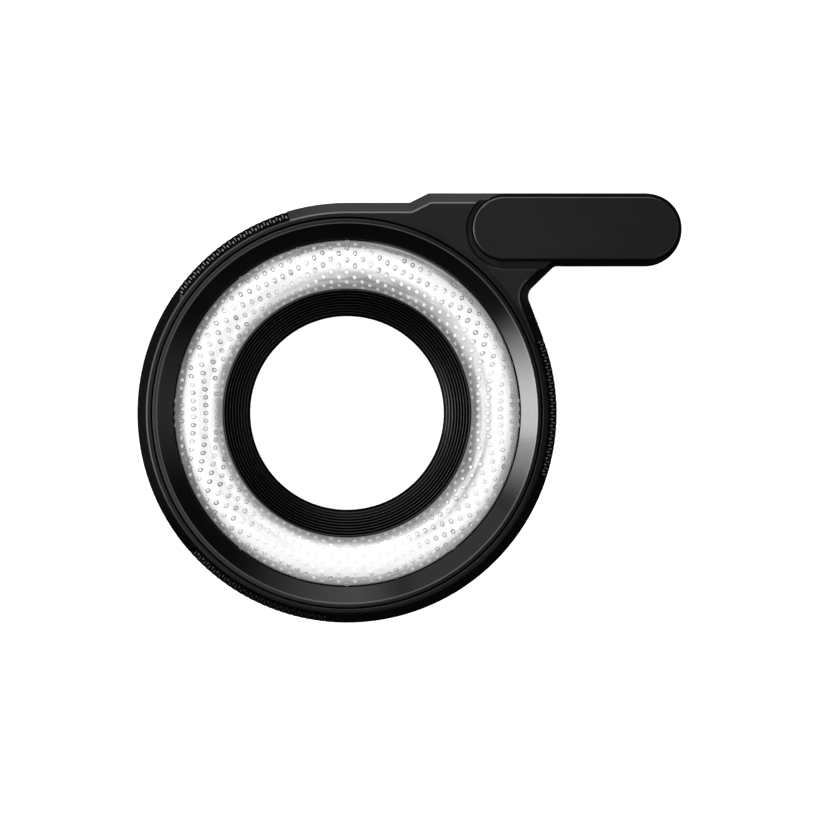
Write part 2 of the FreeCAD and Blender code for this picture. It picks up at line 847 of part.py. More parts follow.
def lock_ring():
    """The knurled ring that turns on the hub and carries the bayonet plate."""
    body = turned("lock_ring", [
        (plate_seat, zero),
        (grip_radius - s.edge_break, zero),
        (grip_radius, s.edge_break),
        (grip_radius, ring_high - s.grip_slope_height),
        (grip_radius - s.grip_slope_width, ring_high),
        (washer_room, ring_high),
        (washer_room, flange_high),
        (ring_bore, flange_high),
        (ring_bore, flange_low),
        (retainer_room, flange_low),
        (retainer_room, s.plate_thick),
        (plate_seat, s.plate_thick),
    ])
    holes(body, "plate_screw_pilots", plate_screw_places, hole_radius,
          s.bayonet_head_sink + s.bayonet_screw_long + s.hole_gap, s.plate_thick)
    key_half = (s.key_wide / 2 + s.key_clear) / hub_radius * radian
    slot_end = hub_radius + s.key_reach + s.key_clear
    slot_high = flange_high + s.washer_gap / 2
    slot = draw(new_sketch(body, "stop_slot_section", "XZ_Plane", turn=s.key_turn - key_half), [
        (hub_radius - overshoot, flange_low - s.end_play),
        (slot_end, flange_low - s.end_play),
        (slot_end, slot_high),
        (hub_radius - overshoot, slot_high),
    ])
    added(body, "Groove", "stop_slot", slot, Angle=s.travel + key_half * 2)
    notches = [polar(ring_bore, s.detent_turn), polar(ring_bore, s.detent_turn + s.travel)]
    holes(body, "click_notches", notches, s.notch_radius, flange_high, flange_low)
    floor = grip_radius - s.tooth_deep
    first_gap = s.zone_turn - s.tooth_pitch * ((teeth - 1) / 2)
    gap = draw(new_sketch(body, "tooth_gap_section", "XZ_Plane", turn=first_gap), [
        (floor, s.knurl_low),
        (grip_radius + overshoot, s.knurl_low),
        (grip_radius + overshoot, ring_high + s.ring_gap),
        (grip_radius - s.grip_slope_width, ring_high + s.ring_gap),
        (grip_radius - s.grip_slope_width, ring_high - s.ring_gap),
        (floor, ring_high - s.grip_slope_height - s.tooth_deep / 2),
    ])
    first = added(body, "Pocket", "tooth_gap", gap, Length=s.tooth_gap, Midplane=True)
    row = doc.addObject("PartDesign::PolarPattern", "tooth_row")
    row.Axis = (origin_part(body, "Z_Axis"), [""])
    row.Occurrences = teeth
    row.Angle = (s.tooth_pitch * (teeth - 1)).number
    row.setExpression("Angle", (s.tooth_pitch * (teeth - 1)).text)
    rows = doc.addObject("PartDesign::PolarPattern", "tooth_rows")
    rows.Axis = (origin_part(body, "Z_Axis"), [""])
    rows.Occurrences = zones
    rows.Angle = 360.0
    knurl = body.newObject("PartDesign::MultiTransform", "knurl")
    knurl.Originals = [first]
    knurl.Transformations = [row, rows]
    finish_pattern(body, knurl)
    return body


def bayonet_plate():
    """The metal plate in the lock ring's back, with lugs that grip the camera's lens ring."""
    body = turned("bayonet_plate", [
        (plate_inner, zero),
        (plate_radius - s.edge_break, zero),
        (plate_radius, s.edge_break),
        (plate_radius, s.plate_thick),
        (plate_inner, s.plate_thick),
    ])
    lug = draw(new_sketch(body, "lug_section", "XZ_Plane", turn=s.lug_turn - s.lug_angle / 2), [
        (lug_radius, zero),
        (plate_inner + s.lug_deep / 2, zero),
        (plate_inner + s.lug_deep / 2, s.plate_thick),
        (lug_radius, s.plate_thick),
    ])
    one = added(body, "Revolution", "lug", lug, Angle=s.lug_angle)
    pattern = body.newObject("PartDesign::PolarPattern", "lug_row")
    pattern.Originals = [one]
    pattern.Axis = (origin_part(body, "Z_Axis"), [""])
    pattern.Occurrences = lugs
    pattern.Angle = 360.0
    finish_pattern(body, pattern)
    sink = s.bayonet_head_sink
    screw_holes(body, "plate_screw", plate_screw_places, sink, s.plate_thick, sink)
    return body


def ring_retainer():
    """The plate screwed behind the hub that keeps the lock ring on."""
    body = turned("ring_retainer", [
        (retainer_inner, retainer_low),
        (retainer_radius, retainer_low),
        (retainer_radius, hub_low),
        (retainer_inner, hub_low),
    ])
    screw_holes(body, "retainer_screw", retainer_places, retainer_low, hub_low, s.run_gap)
    return body


def slip_washer():
    """A thin ring between the lock ring's flange and the rear cover."""
    return turned("slip_washer", [
        (washer_inner, washer_low),
        (washer_radius, washer_low),
        (washer_radius, washer_low + s.washer_thick),
        (washer_inner, washer_low + s.washer_thick),
    ])


def stop_key():
    """The steel key in the hub that limits the lock ring's turn."""
    body = new_body("stop_key")
    outline = block_at_turn(hub_radius - s.key_root, hub_radius + s.key_reach, s.key_wide / 2, s.key_turn)
    low = hub_low + s.seat_gap
    raised(body, "key", [outline], low, low + s.key_thick)
    return body


def detent_spring():
    """The bowed leaf in the hub whose nose clicks into the lock ring's notches."""
    body = new_body("detent_spring")
    end = hub_radius - s.leaf_sink + s.seat_gap
    shoulder = end + s.leaf_rise
    tip = ring_bore + s.notch_radius - s.key_clear
    thick = s.leaf_thick
    turn = s.detent_turn
    outline = [
        at_turn(end, -s.leaf_half, turn),
        at_turn(end + thick, -s.leaf_half, turn),
        at_turn(shoulder + thick, -s.leaf_nose, turn),
        at_turn(tip, zero, turn),
        at_turn(shoulder + thick, s.leaf_nose, turn),
        at_turn(end + thick, s.leaf_half, turn),
        at_turn(end, s.leaf_half, turn),
        at_turn(shoulder, s.leaf_nose, turn),
        at_turn(tip - s.leaf_tip, zero, turn),
        at_turn(shoulder, -s.leaf_nose, turn),
    ]
    low = flange_low + s.seat_gap
    raised(body, "leaf", [outline], low, low + s.leaf_wide)
    return body


def light_seal():
    """The felt ring that meets the camera's lens barrel."""
    inner = pilot_radius - s.seal_wide
    outer = seal_seat - s.seal_clear
    return turned("light_seal", [
        (inner, pilot_high + s.seat_gap),
        (outer, pilot_high + s.seat_gap),
        (outer, cover_low - s.seat_gap),
        (inner, cover_low - s.seat_gap),
    ])


def ring_reflector():
    """The white ring under the light guide."""
    return turned("ring_reflector", [
        (guide_inner, tray_low),
        (guide_outer, tray_low),
        (guide_outer, tray_low + s.tray_thick),
        (guide_inner, tray_low + s.tray_thick),
    ])


def window_square(half):
    return rectangle(window_x - half, hood_y - half, window_x + half, hood_y + half)


def inlet_lens():
    """The clear window over the hood's light tunnel."""
    body = new_body("inlet_lens")
    low = tunnel_high + s.seat_gap
    half = s.window_half + s.lens_side
    raised(body, "window", [window_square(half)], low, low + s.lens_thick)
    return body


def hood_base():
    """The cup that carries the hood back to the camera, with the tunnel that its LED shines through."""
    body = new_body("hood_base")
    floor = base_low + s.base_floor
    outside = stadium(base_start, hood_x, hood_y, s.hood_radius)
    inside = stadium(base_start, hood_x, hood_y, s.hood_radius - s.arm_wall)
    tunnel = window_square(s.window_half + s.tunnel_wall)
    cup = raised(body, "cup", [outside], base_low, cover_low - s.seat_gap)
    eased(body, "Chamfer", "base_edge", cup, edges_at(cup, base_low), s.base_break)
    cut_down(body, "cup_inside", [inside], cover_low, floor)
    raised(body, "tunnel", [tunnel], floor - s.base_floor / 2, tunnel_high)
    cut_down(body, "led_window", [window_square(s.window_half)], tunnel_high, base_low)
    screw_holes(body, "hood_screw", hood_places, base_low, floor, s.run_gap)
    return body


def inlet_gasket():
    """The foam frame round the LED window, which meets the camera's face."""
    body = new_body("inlet_gasket")
    low = base_low - s.seat_gap - s.gasket_thick
    inner = s.window_half + s.gasket_inset
    outer = inner + s.gasket_wall
    block = raised(body, "frame", [window_square(outer)], low, low + s.gasket_thick)
    upright = edges_where(block, lambda edge: abs(edge.Vertexes[0].Z - edge.Vertexes[-1].Z) > near)
    eased(body, "Fillet", "frame_corners", block, upright, s.gasket_round)
    cut_down(body, "frame_opening", [window_square(inner)], low + s.gasket_thick, low)
    return body


cover_places = spread(cone_inner + s.cover_screw_in, s.cover_screw_turn, cover_screw_count)
retainer_places = spread(hub_radius - s.retainer_screw_edge, s.retainer_screw_turn, retainer_screw_count)
plate_screw_places = spread(plate_radius - s.plate_screw_edge, s.lug_turn + 180.0 / lugs, lugs)
hood_places = [
    (base_start + s.near_screw_in, hood_y - s.hood_screw_side),
    (base_start + s.near_screw_in, hood_y + s.hood_screw_side),
    (hood_x + s.far_screw_out, hood_y),
]

pieces = [
    front_shell(),
    hood_cap(),
    bezel_ring(),
    light_guide(),
    lens_baffle(),
    ring_reflector(),
    pipe_reflector(),
    inlet_lens(),
    hood_base(),
    inlet_gasket(),
    screws("hood_screws", hood_places, base_low, s.hood_screw_long),
    rear_cover(),
    screws("cover_screws", cover_places, cover_low, s.cover_screw_long),
    light_seal(),
    ring_retainer(),
    screws("retainer_screws", retainer_places, retainer_low, s.retainer_screw_long),
    slip_washer(),
    stop_key(),
    detent_spring(),
    lock_ring(),
    bayonet_plate(),
    screws("bayonet_screws", plate_screw_places, s.bayonet_head_sink, s.bayonet_screw_long),
]

doc.recompute()
for item in doc.Objects:
    if "Invalid" in item.State or "Error" in item.State:
        raise RuntimeError(f"{item.Label} has failed: {item.State}")
for piece in pieces:
    if piece.Shape.isNull() or not piece.Shape.isValid():
        raise RuntimeError(f"{piece.Label} has no valid shape")

os.makedirs("parts", exist_ok=True)
for piece in pieces:
    piece.Shape.exportStep(f"parts/{piece.Label}.step")
    print(piece.Label, round(piece.Shape.Volume, 2), len(piece.Shape.Solids))
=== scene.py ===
import math
import bpy
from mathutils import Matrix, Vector


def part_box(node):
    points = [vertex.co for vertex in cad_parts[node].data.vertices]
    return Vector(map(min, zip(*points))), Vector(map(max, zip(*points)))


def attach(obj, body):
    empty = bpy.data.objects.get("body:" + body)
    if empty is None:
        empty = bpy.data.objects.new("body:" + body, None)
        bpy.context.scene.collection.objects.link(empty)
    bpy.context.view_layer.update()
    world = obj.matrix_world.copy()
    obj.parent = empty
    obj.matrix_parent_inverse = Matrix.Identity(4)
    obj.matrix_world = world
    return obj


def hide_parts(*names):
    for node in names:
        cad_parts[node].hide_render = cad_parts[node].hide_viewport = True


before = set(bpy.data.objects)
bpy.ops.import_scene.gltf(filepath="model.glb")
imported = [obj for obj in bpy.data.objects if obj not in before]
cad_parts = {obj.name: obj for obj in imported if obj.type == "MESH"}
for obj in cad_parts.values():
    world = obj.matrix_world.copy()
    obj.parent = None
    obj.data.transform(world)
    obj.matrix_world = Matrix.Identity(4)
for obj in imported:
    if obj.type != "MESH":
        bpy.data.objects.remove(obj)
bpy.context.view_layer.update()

mm = 0.001
degrees = math.degrees(1)   # in one radian
scene = bpy.context.scene


# node wiring, shared by materials and geometry trees

class Wire:  # a socket that takes part in sums
    def __init__(self, net, socket):
        self.net = net
        self.socket = socket

    def maths(self, operation, *values):
        return self.net.node("ShaderNodeMath", {"operation": operation}, *values)

    def __add__(self, other): return self.maths("ADD", self, other)
    def __radd__(self, other): return self.maths("ADD", other, self)
    def __sub__(self, other): return self.maths("SUBTRACT", self, other)
    def __rsub__(self, other): return self.maths("SUBTRACT", other, self)
    def __mul__(self, other): return self.maths("MULTIPLY", self, other)
    def __rmul__(self, other): return self.maths("MULTIPLY", other, self)
    def __truediv__(self, other): return self.maths("DIVIDE", self, other)
    def __mod__(self, other): return self.maths("FLOORED_MODULO", self, other)
    def __pow__(self, other): return self.maths("POWER", self, other)
    def __gt__(self, other): return self.maths("GREATER_THAN", self, other)
    def __lt__(self, other): return self.maths("LESS_THAN", self, other)

    def sin(self): return self.maths("SINE", self)
    def cos(self): return self.maths("COSINE", self)
    def floor(self): return self.maths("FLOOR", self)
    def size(self): return self.maths("ABSOLUTE", self)
    def most(self, other): return self.maths("MAXIMUM", self, other)
    def least(self, other): return self.maths("MINIMUM", self, other)

    def ramp(self, low, high):  # 0 below low, 1 above high, smooth between
        return self.net.node("ShaderNodeMapRange", {"interpolation_type": "SMOOTHSTEP"},
                             Value=self, **{"From Min": low, "From Max": high})

    def within(self, low, high, soft):  # 1 between low and high, 0 outside
        return self.ramp(low - soft, low + soft) * (1 - self.ramp(high - soft, high + soft))

    def between(self, low, high):  # low where this is 0, high where it is 1
        return low + (high - low) * self


class Net:
    def __init__(self, tree):
        self.tree = tree

    def find(self, sockets, key):
        if isinstance(key, int):
            return sockets[key]
        return next(s for s in sockets if s.enabled and key in (s.identifier, s.name))

    def node(self, kind, settings=None, *values, out=0, **named):
        made = self.tree.nodes.new(kind)
        for key, value in (settings or {}).items():
            setattr(made, key, value)
        for key, value in [*enumerate(values), *named.items()]:
            socket = self.find(made.inputs, key)
            if isinstance(value, Wire):
                self.tree.links.new(value.socket, socket)
            elif isinstance(value, (list, tuple)) and value and isinstance(value[0], Wire):
                for wire in value:
                    self.tree.links.new(wire.socket, socket)
            else:
                socket.default_value = value
        return None if out is None else Wire(self, self.find(made.outputs, out))

    def mix(self, share, low, high):  # between two colours
        return self.node("ShaderNodeMix", {"data_type": "RGBA"}, out="Result_Color",
                         Factor_Float=share, A_Color=low, B_Color=high)


def grey(value, tint=(1, 1, 1)):
    return (value * tint[0], value * tint[1], value * tint[2], 1)


def vector(net, x, y, z):
    return net.node("ShaderNodeCombineXYZ", None, x, y, z)


def scaled(net, where, factor):
    return net.node("ShaderNodeVectorMath", {"operation": "SCALE"}, where, Scale=factor)


def place(net):  # where on the object, in millimetres
    return scaled(net, net.node("ShaderNodeTexCoord", out="Object"), 1 / mm)


def parted(net, where):
    split = net.node("ShaderNodeSeparateXYZ", None, where, out="X").socket.node
    return [Wire(net, split.outputs[axis]) for axis in "XYZ"]


def around(net, where):  # radius in millimetres and turn in degrees, from -180 to 180
    x, y, z = parted(net, where)
    return (x * x + y * y) ** 0.5, y.maths("ARCTAN2", y, x) * degrees


def grain(net, where, scale, detail=2.0):
    return net.node("ShaderNodeTexNoise", None, Vector=where, Scale=scale, Detail=detail)


def newMaterial(name, look):
    material = bpy.data.materials.new(name)
    material.use_nodes = True
    material.node_tree.nodes.clear()
    net = Net(material.node_tree)
    shader = net.node("ShaderNodeBsdfPrincipled")
    for key, value in look.items():
        shader.socket.node.inputs[key].default_value = value
    net.node("ShaderNodeOutputMaterial", None, out=None, Surface=shader)
    return material, net, shader.socket.node


def feed(net, shader, **sources):
    for key, wire in sources.items():
        net.tree.links.new(wire.socket, shader.inputs[key.replace("_", " ")])


# moulded plastics: grain is per millimetre, depth, edge, radii and heights are in millimetres, turns in
# degrees, and what darkens a place is a share of black: painted shade on the shell, hood cap and baffle,
# random patches on the lock ring

grooveShade = (24.5, 24.74, 0.04)   # painted shadow line in the groove between the rim and the cone's flange

mouldLooks = {
    "shell": {
        "shade": 0.0045, "spread": 0.25, "roughness": 0.32, "grain": 9.0, "depth": 0.004, "edge": 0.13,
        "corners": 0.5, "cornersFrom": (25.1, 25.4), "least": 0.06,
        "flats": {"inside": 25.35, "wide": 0.3, "wideTurn": (-130, 55, 30),
                  "right": 0.3, "rightTurn": (-24, 38, 14)},
        "foot": {"line": (25.4, 25.7, 0.04), "below": 11.42, "web": (12, 118, 4)},
        "elbow": {"x": (18.5, 19.5), "y": (21.5, 22.5), "line": (11.08, 11.36), "soft": 0.05,
                  "wall": (0.35, 0.8), "edge": 0.7, "bent": (0.01, 0.08), "corner": (21.6, 15.3),
                  "away": (2.0, 6.0)},
    },
    "pad": {
        "shade": 0.004, "spread": 0.2, "roughness": 0.33, "grain": 11.0, "depth": 0.004, "edge": 0.09,
        "corners": 0.4, "left": 0.08, "right": 0.28, "x": (20, 42), "side": 0.8, "sideZ": (11.58, 11.7),
    },
    "baffle": {
        "shade": 0.002, "spread": 0.3, "roughness": 0.3, "grain": 10.0, "depth": 0.002, "edge": 0,
        "corners": 0.3, "holeBand": (12.43, 12.53),
    },
    "grip": {
        "shade": 0.0025, "spread": 0.3, "roughness": 0.22, "grain": 8.0, "depth": 0.002, "edge": 0.06,
        "patches": 0.6, "low": 0.3, "high": 0.5,
    },
    "tooth": {"shade": 0.013, "spread": 0.3, "roughness": 0.3, "grain": 8.0, "depth": 0.002, "edge": 0},
    "inner": {"shade": 0.006, "spread": 0.3, "roughness": 0.45, "grain": 6.0, "depth": 0.008, "edge": 0.08},
    "white": {"shade": 0.8, "spread": 0.04, "roughness": 0.5, "grain": 6.0, "depth": 0.004, "edge": 0},
    "washer": {"shade": 0.62, "spread": 0.08, "roughness": 0.45, "grain": 5.0, "depth": 0.006, "edge": 0},
}
plain = {"Specular IOR Level": 0.5, "IOR": 1.5}
blend = {"broadGrain": 0.25, "broadDetail": 3.0, "cloud": 0.6, "speck": 0.4,
         "rough": 0.9, "roughCloud": 0.1, "roughSpeck": 0.1, "samples": 6}
# the black mixed in for painted shade and the lock ring's patches, its most share, and the occlusion range
# that marks corners for painted shade
dark = {"shade": 0.0005, "most": 0.96, "openSky": (0.5, 0.86), "samples": 6}


def softened(net, look):  # the surface's direction, as if its edges were rounded
    return net.node("ShaderNodeBevel", {"samples": blend["samples"]}, Radius=look["edge"] * mm)


def bump(net, height, depth, strength=1.0, **more):
    return net.node("ShaderNodeBump", None, Height=height, Distance=depth * mm, Strength=strength,
                    out="Normal", **more)


def surface(net, height, look):  # grain, over softly rounded edges where the look asks for them
    more = {"Normal": softened(net, look)} if look["edge"] else {}
    return bump(net, height, look["depth"], **more)


def unevenly(look, cloud, speck):
    return look["roughness"] * (blend["rough"] + blend["roughCloud"] * cloud + blend["roughSpeck"] * speck)


def blackened(net, shader, share):  # plain black instead of the finish where share is 1: painted shade on most pieces, random patches on the lock ring
    black = net.node("ShaderNodeBsdfDiffuse", None, Color=grey(dark["shade"]))
    mixed = net.node("ShaderNodeMixShader", None, share * dark["most"], Wire(net, shader.outputs[0]), black)
    output = next(node for node in net.tree.nodes if node.type == "OUTPUT_MATERIAL")
    net.tree.links.new(mixed.socket, output.inputs["Surface"])


def corners(net, look):  # painted shade: 1 in narrow corners, 0 on open faces
    air = net.node("ShaderNodeAmbientOcclusion", {"samples": dark["samples"]}, Distance=look["corners"] * mm,
                   out="AO")
    return 1 - air.ramp(*dark["openSky"])


def elbowPaintedShade(net, where, look):  # painted shade on the wall beside the elbow, and on its rounded edge away from the round corner
    e = look["elbow"]
    x, y, z = parted(net, where)
    area = x.ramp(*e["x"]) * (1 - y.ramp(*e["y"]))
    wall = (z < e["line"][1]) * z.within(*e["line"], e["soft"]).between(*e["wall"])
    bent = 1 - parted(net, softened(net, look))[2]
    fromX, fromY = x - e["corner"][0], y - e["corner"][1]
    away = (fromX * fromX + fromY * fromY).ramp(*e["away"])
    return area * (bent.ramp(*e["bent"]) * away * e["edge"]).most(wall)


def shellPaintedShade(net, where, look):
    flats, foot = look["flats"], look["foot"]
    radius, turn = around(net, where)
    z = parted(net, where)[2]
    share = corners(net, look) * radius.ramp(*look["cornersFrom"])
    # painted shade: the flats inside the rim darker towards the right and the bottom, over a small even
    # darkening everywhere
    dim = flats["wide"] * turn.within(*flats["wideTurn"]) + flats["right"] * turn.within(*flats["rightTurn"])
    share = share.most(look["least"] + (radius < flats["inside"]) * dim)
    bare = (z < foot["below"]) * (1 - turn.within(*foot["web"]))   # where no web joins the rim
    # painted shadow lines: in the groove, and at the rim's foot where no web joins it
    share = share.most(radius.within(*grooveShade) + radius.within(*foot["line"]) * bare)
    return share.most(elbowPaintedShade(net, where, look))


def padPaintedShade(net, where, look):
    # painted shade: corners, a top darker towards its right end over a small even share, and dark lower sides
    x, y, z = parted(net, where)
    side = look["side"] * (1 - z.ramp(*look["sideZ"]))
    top = x.ramp(*look["x"]).between(look["left"], look["right"])
    return corners(net, look).most(top + side)


def bafflePaintedShade(net, where, look):
    # painted shade: the corners between the ribs, and a black band round the hole's edge
    radius, turn = around(net, where)
    return corners(net, look).most(1 - radius.ramp(*look["holeBand"]))


def gripDark(net, where, look):
    return grain(net, where, look["patches"]).between(look["low"], look["high"])


paintedShadeAndPatches = {"shell": shellPaintedShade, "pad": padPaintedShade, "baffle": bafflePaintedShade, "grip": gripDark}


def mouldedPlastic(name):
    look = mouldLooks[name]
    material, net, shader = newMaterial(name + "Plastic", plain)
    where = place(net)
    cloud = grain(net, where, blend["broadGrain"], blend["broadDetail"])
    speck = grain(net, where, look["grain"])
    low = grey(look["shade"] * (1 - look["spread"]))
    high = grey(look["shade"] * (1 + look["spread"]))
    shade = net.mix(cloud * blend["cloud"] + speck * blend["speck"], low, high)
    feed(net, shader, Base_Color=shade, Roughness=unevenly(look, cloud, speck),
         Normal=surface(net, speck, look))
    if name in paintedShadeAndPatches:
        blackened(net, shader, paintedShadeAndPatches[name](net, where, look))
    return material


bezelLook = {
    "shade": 0.0025, "spread": 0.2, "roughness": 0.16, "grain": 5.0, "depth": 0.0006, "edge": 0.05,
    "flange": (24.0, 24.1), "flangeTurn": (30, 175), "flangePaintedShade": 0.003, "flangePaintedLight": 0.032,
    "line": (23.91, 24.05, 0.03), "paintedHighlightGrey": 0.085, "paintedHighlightShare": (0.7, 1.0),
}


def glossyBezel():
    look = bezelLook
    material, net, shader = newMaterial("glossyBezel", plain)
    where = place(net)
    radius, turn = around(net, where)
    speck = grain(net, where, look["grain"])
    cloud = grain(net, where, blend["broadGrain"], blend["broadDetail"])
    low = grey(look["shade"] * (1 - look["spread"]))
    high = grey(look["shade"] * (1 + look["spread"]))
    # painted light and shade: the flange lighter towards the left, darker towards the right
    leftwards = turn.size().ramp(*look["flangeTurn"])
    flange = net.mix(leftwards, grey(look["flangePaintedShade"]), grey(look["flangePaintedLight"]))
    body = net.mix(radius.ramp(*look["flange"]), net.mix(cloud, low, high), flange)
    # painted highlight: a light ring along the flange's inner edge
    line = radius.within(*look["line"]) * cloud.between(*look["paintedHighlightShare"])
    body = net.mix(line, body, grey(look["paintedHighlightGrey"]))
    feed(net, shader, Base_Color=body, Roughness=unevenly(look, cloud, speck),
         Normal=surface(net, speck, look))
    # painted shadow line in the groove
    blackened(net, shader, radius.within(*grooveShade))
    return material


metalLooks = {
    "plate": {"shade": 0.52, "roughness": 0.26, "lines": 26.0, "depth": 0.002},
    "screw": {"shade": 0.4, "roughness": 0.3, "lines": 14.0, "depth": 0.0015},
    "spring": {"shade": 0.45, "roughness": 0.28, "lines": 18.0, "depth": 0.001},
}
steel = {"low": 0.85, "lowTint": (1, 0.98, 0.95), "high": 1.1, "highTint": (1, 0.99, 0.97), "stain": 0.4,
         "lineDetail": 2.0, "stainDetail": 3.0, "rough": 0.75, "roughLines": 0.3, "roughStain": 0.2}


def turnedMetal(name):
    look = metalLooks[name]
    material, net, shader = newMaterial(name + "Steel", {"Metallic": 1.0})
    where = place(net)
    radius, turn = around(net, where)
    rings = net.node("ShaderNodeTexNoise", {"noise_dimensions": "1D"}, W=radius, Scale=look["lines"],
                     Detail=steel["lineDetail"])
    stain = grain(net, where, steel["stain"], steel["stainDetail"])
    low = grey(look["shade"] * steel["low"], steel["lowTint"])
    high = grey(look["shade"] * steel["high"], steel["highTint"])
    rough = steel["rough"] + steel["roughLines"] * rings + steel["roughStain"] * stain
    feed(net, shader, Base_Color=net.mix(rings * 0.5 + stain * 0.5, low, high),
         Roughness=look["roughness"] * rough, Normal=bump(net, rings, look["depth"]))
    return material


foamLook = {"shade": 0.012, "low": 0.5, "high": 1.7, "roughness": 0.85, "cells": 3.2, "speck": 7.0,
            "cellShare": 0.7, "speckShare": 0.3, "rough": (0.9, 1.1), "depth": 0.06, "strength": 0.8}


def foamRubber():
    look = foamLook
    material, net, shader = newMaterial("blackFoam", {"Specular IOR Level": 0.3})
    where = place(net)
    cells = net.node("ShaderNodeTexVoronoi", None, Vector=where, Scale=look["cells"], out="Distance")
    speck = grain(net, where, look["speck"])
    low, high = grey(look["shade"] * look["low"]), grey(look["shade"] * look["high"])
    feed(net, shader, Base_Color=net.mix(cells * look["cellShare"] + speck * look["speckShare"], low, high),
         Roughness=look["roughness"] * speck.between(*look["rough"]),
         Normal=bump(net, cells, look["depth"], look["strength"]))
    return material


feltLook = {"shade": 0.009, "low": 0.4, "high": 1.9, "roughness": 0.95, "rough": (0.9, 1.0),
            "fibres": (5.0, 4.0), "tufts": (1.3, 3.0), "fibreShare": 0.6, "tuftShare": 0.4, "depth": 0.05}


def blackFelt():
    look = feltLook
    material, net, shader = newMaterial("blackFelt", {"Specular IOR Level": 0.15, "Sheen Weight": 0.4,
                                                      "Sheen Roughness": 0.5})
    where = place(net)
    fibres = grain(net, where, *look["fibres"])
    tufts = grain(net, where, *look["tufts"])
    low, high = grey(look["shade"] * look["low"]), grey(look["shade"] * look["high"])
    feed(net, shader, Base_Color=net.mix(fibres * look["fibreShare"] + tufts * look["tuftShare"], low, high),
         Roughness=look["roughness"] * tufts.between(*look["rough"]), Normal=bump(net, fibres, look["depth"]))
    return material


windowLook = {"haze": (0.8, 3.0), "dark": 0.9, "light": 0.98, "roughness": (0.04, 0.1)}


def clearWindow():
    material, net, shader = newMaterial("clearWindow", {"Transmission Weight": 1.0, "IOR": 1.49})
    haze = grain(net, place(net), *windowLook["haze"])
    feed(net, shader, Base_Color=net.mix(haze, grey(windowLook["dark"]), grey(windowLook["light"])),
         Roughness=haze.between(*windowLook["roughness"]))
    return material


# the light guide: sizes in millimetres, turns in degrees, places across the tube as shares of its half width,
# and places on a dome from 0 at its foot to 1 on top; its greys are painted shade, its white dome tops
# painted highlights, and its emission painted glow

guide = {
    "radius": 18.675, "half": 2.975, "low": 6.8, "foot": 0.5, "arcSteps": 40, "ease": 0.09, "easeReach": 1.08,
    "gridStep": 1.0, "gridHalf": 22, "gridReach": 2.62, "shift": 0.12, "stretch": 1.54, "bend": -0.063,
    "innermost": -0.955, "outermost": 0.992, "pipeFrom": 0.6,
    "dome": 0.3, "domeLong": 0.86, "domeHigh": 0.13, "domeSegments": 14, "domeRings": 8,
    "leastStretch": 0.6, "mostStretch": 1.6, "tiltLimit": 0.05,
    "white": 0.86, "glow": 0.2, "innerPaintedShade": 0.42, "outerPaintedShade": 0.3, "shoulderPaintedShade": 0.24, "leftBandPaintedShade": 0.5,
    "dotRimPaintedShade": 0.13, "dotFillPaintedShade": 0.33, "domePaintedHighlight": 0.95, "pipePaintedShade": 0.03, "ledgePaintedShade": 0.14,
    "edgeGlow": 0.34, "openGlow": 0.6,
    "pipe": {
        "thick": 1.6, "half": 1.85, "bend": 24.55, "middle": 23.1, "lowTurn": 50.0, "highTurn": 82.0,
        "inner": 20.15, "outer": 21.65, "headStart": 31.5, "headEnd": 38.2, "headHalf": 2.6,
        "headHigh": 9.9, "facetRun": 4.2, "overlap": 0.5,
    },
    "milkAndPaintedShade": {
        "cloud": (0.5, 3.0), "swirl": (1.6, 3.0), "swirlAcross": 1.1, "swirlAlong": 0.045, "speck": 4.2,
        "streak": (0.3, 0.7), "mottleFrom": (0.34, 0.66), "mottle": (0.68, 1.32), "wander": 0.22,
        "rightTurn": (-35, 118, 18), "rightIn": (0.2, 1.1, 0.18), "right": 0.68,
        "rightEnd": (85, 118), "rightAtEnd": 0.3,
        "topTurn": (60, 135, 18), "topIn": (0.42, 0.66, 0.08), "top": 0.3,
        "leftTurn": (100, 125), "leftAcross": (-0.36, 0.02, 0.07), "left": (0.12, 0.42),
        "lowTurn": (-62, -18, 12), "lowAcross": (-0.75, -0.1, 0.2), "low": 0.45,
        "shoulderFrom": (0.2, 0.6), "shoulder": (0.35, 1.0),
        "innerIn": (0.6, 0.76), "inner": (0.3, 0.65), "outerAcross": (0.68, 0.78), "outer": (0.5, 0.9),
        "outerLeftTurn": (125, 155), "outerLeft": 1.4, "outerRightTurn": (-125, 35, 15), "outerRight": 0.6,
        "ledge": (21.57, 21.62), "ledgeZ": (8.2, 8.3), "pipe": (21.76, 21.81), "overDome": (0.0, 0.06),
        "glowShare": 0.5, "darkerTurn": (95, 140), "glowEdge": (0.84, 0.97),
    },
    "dots": {
        "uneven": (0.3, 1.7), "rimFrom": (0.0, 0.08), "rimTo": (0.3, 0.6), "rim": 0.85,
        "fillFrom": (0.02, 0.12), "fillTo": (0.6, 0.95), "fillOnTop": 0.4, "fill": (0.5, 0.85),
        "bottomTurn": (-132, -58, 16), "bottomAcross": (0.5, 0.75), "bottom": 0.1, "rightShoulderShade": 0.15,
        "edge": (0.72, 0.84), "edgeRight": (0.2, 0.4), "edgeRightTurn": (-30, 62, 12), "edgeAtRight": 0.2,
        "atEdge": 0.1, "cloudFrom": (0.32, 0.62), "cloud": (0.3, 1.0),
        "paleTurn": (-45, 22, 10), "paleAcross": (-0.1, 0.62, 0.08), "pale": 0.4,
        "topFrom": (0.5, 0.85), "top": 0.2, "capFrom": (0.12, 0.4), "cap": 0.8,
        "edgeCapFrom": (0.06, 0.3), "edgeCap": 0.9,
    },
}


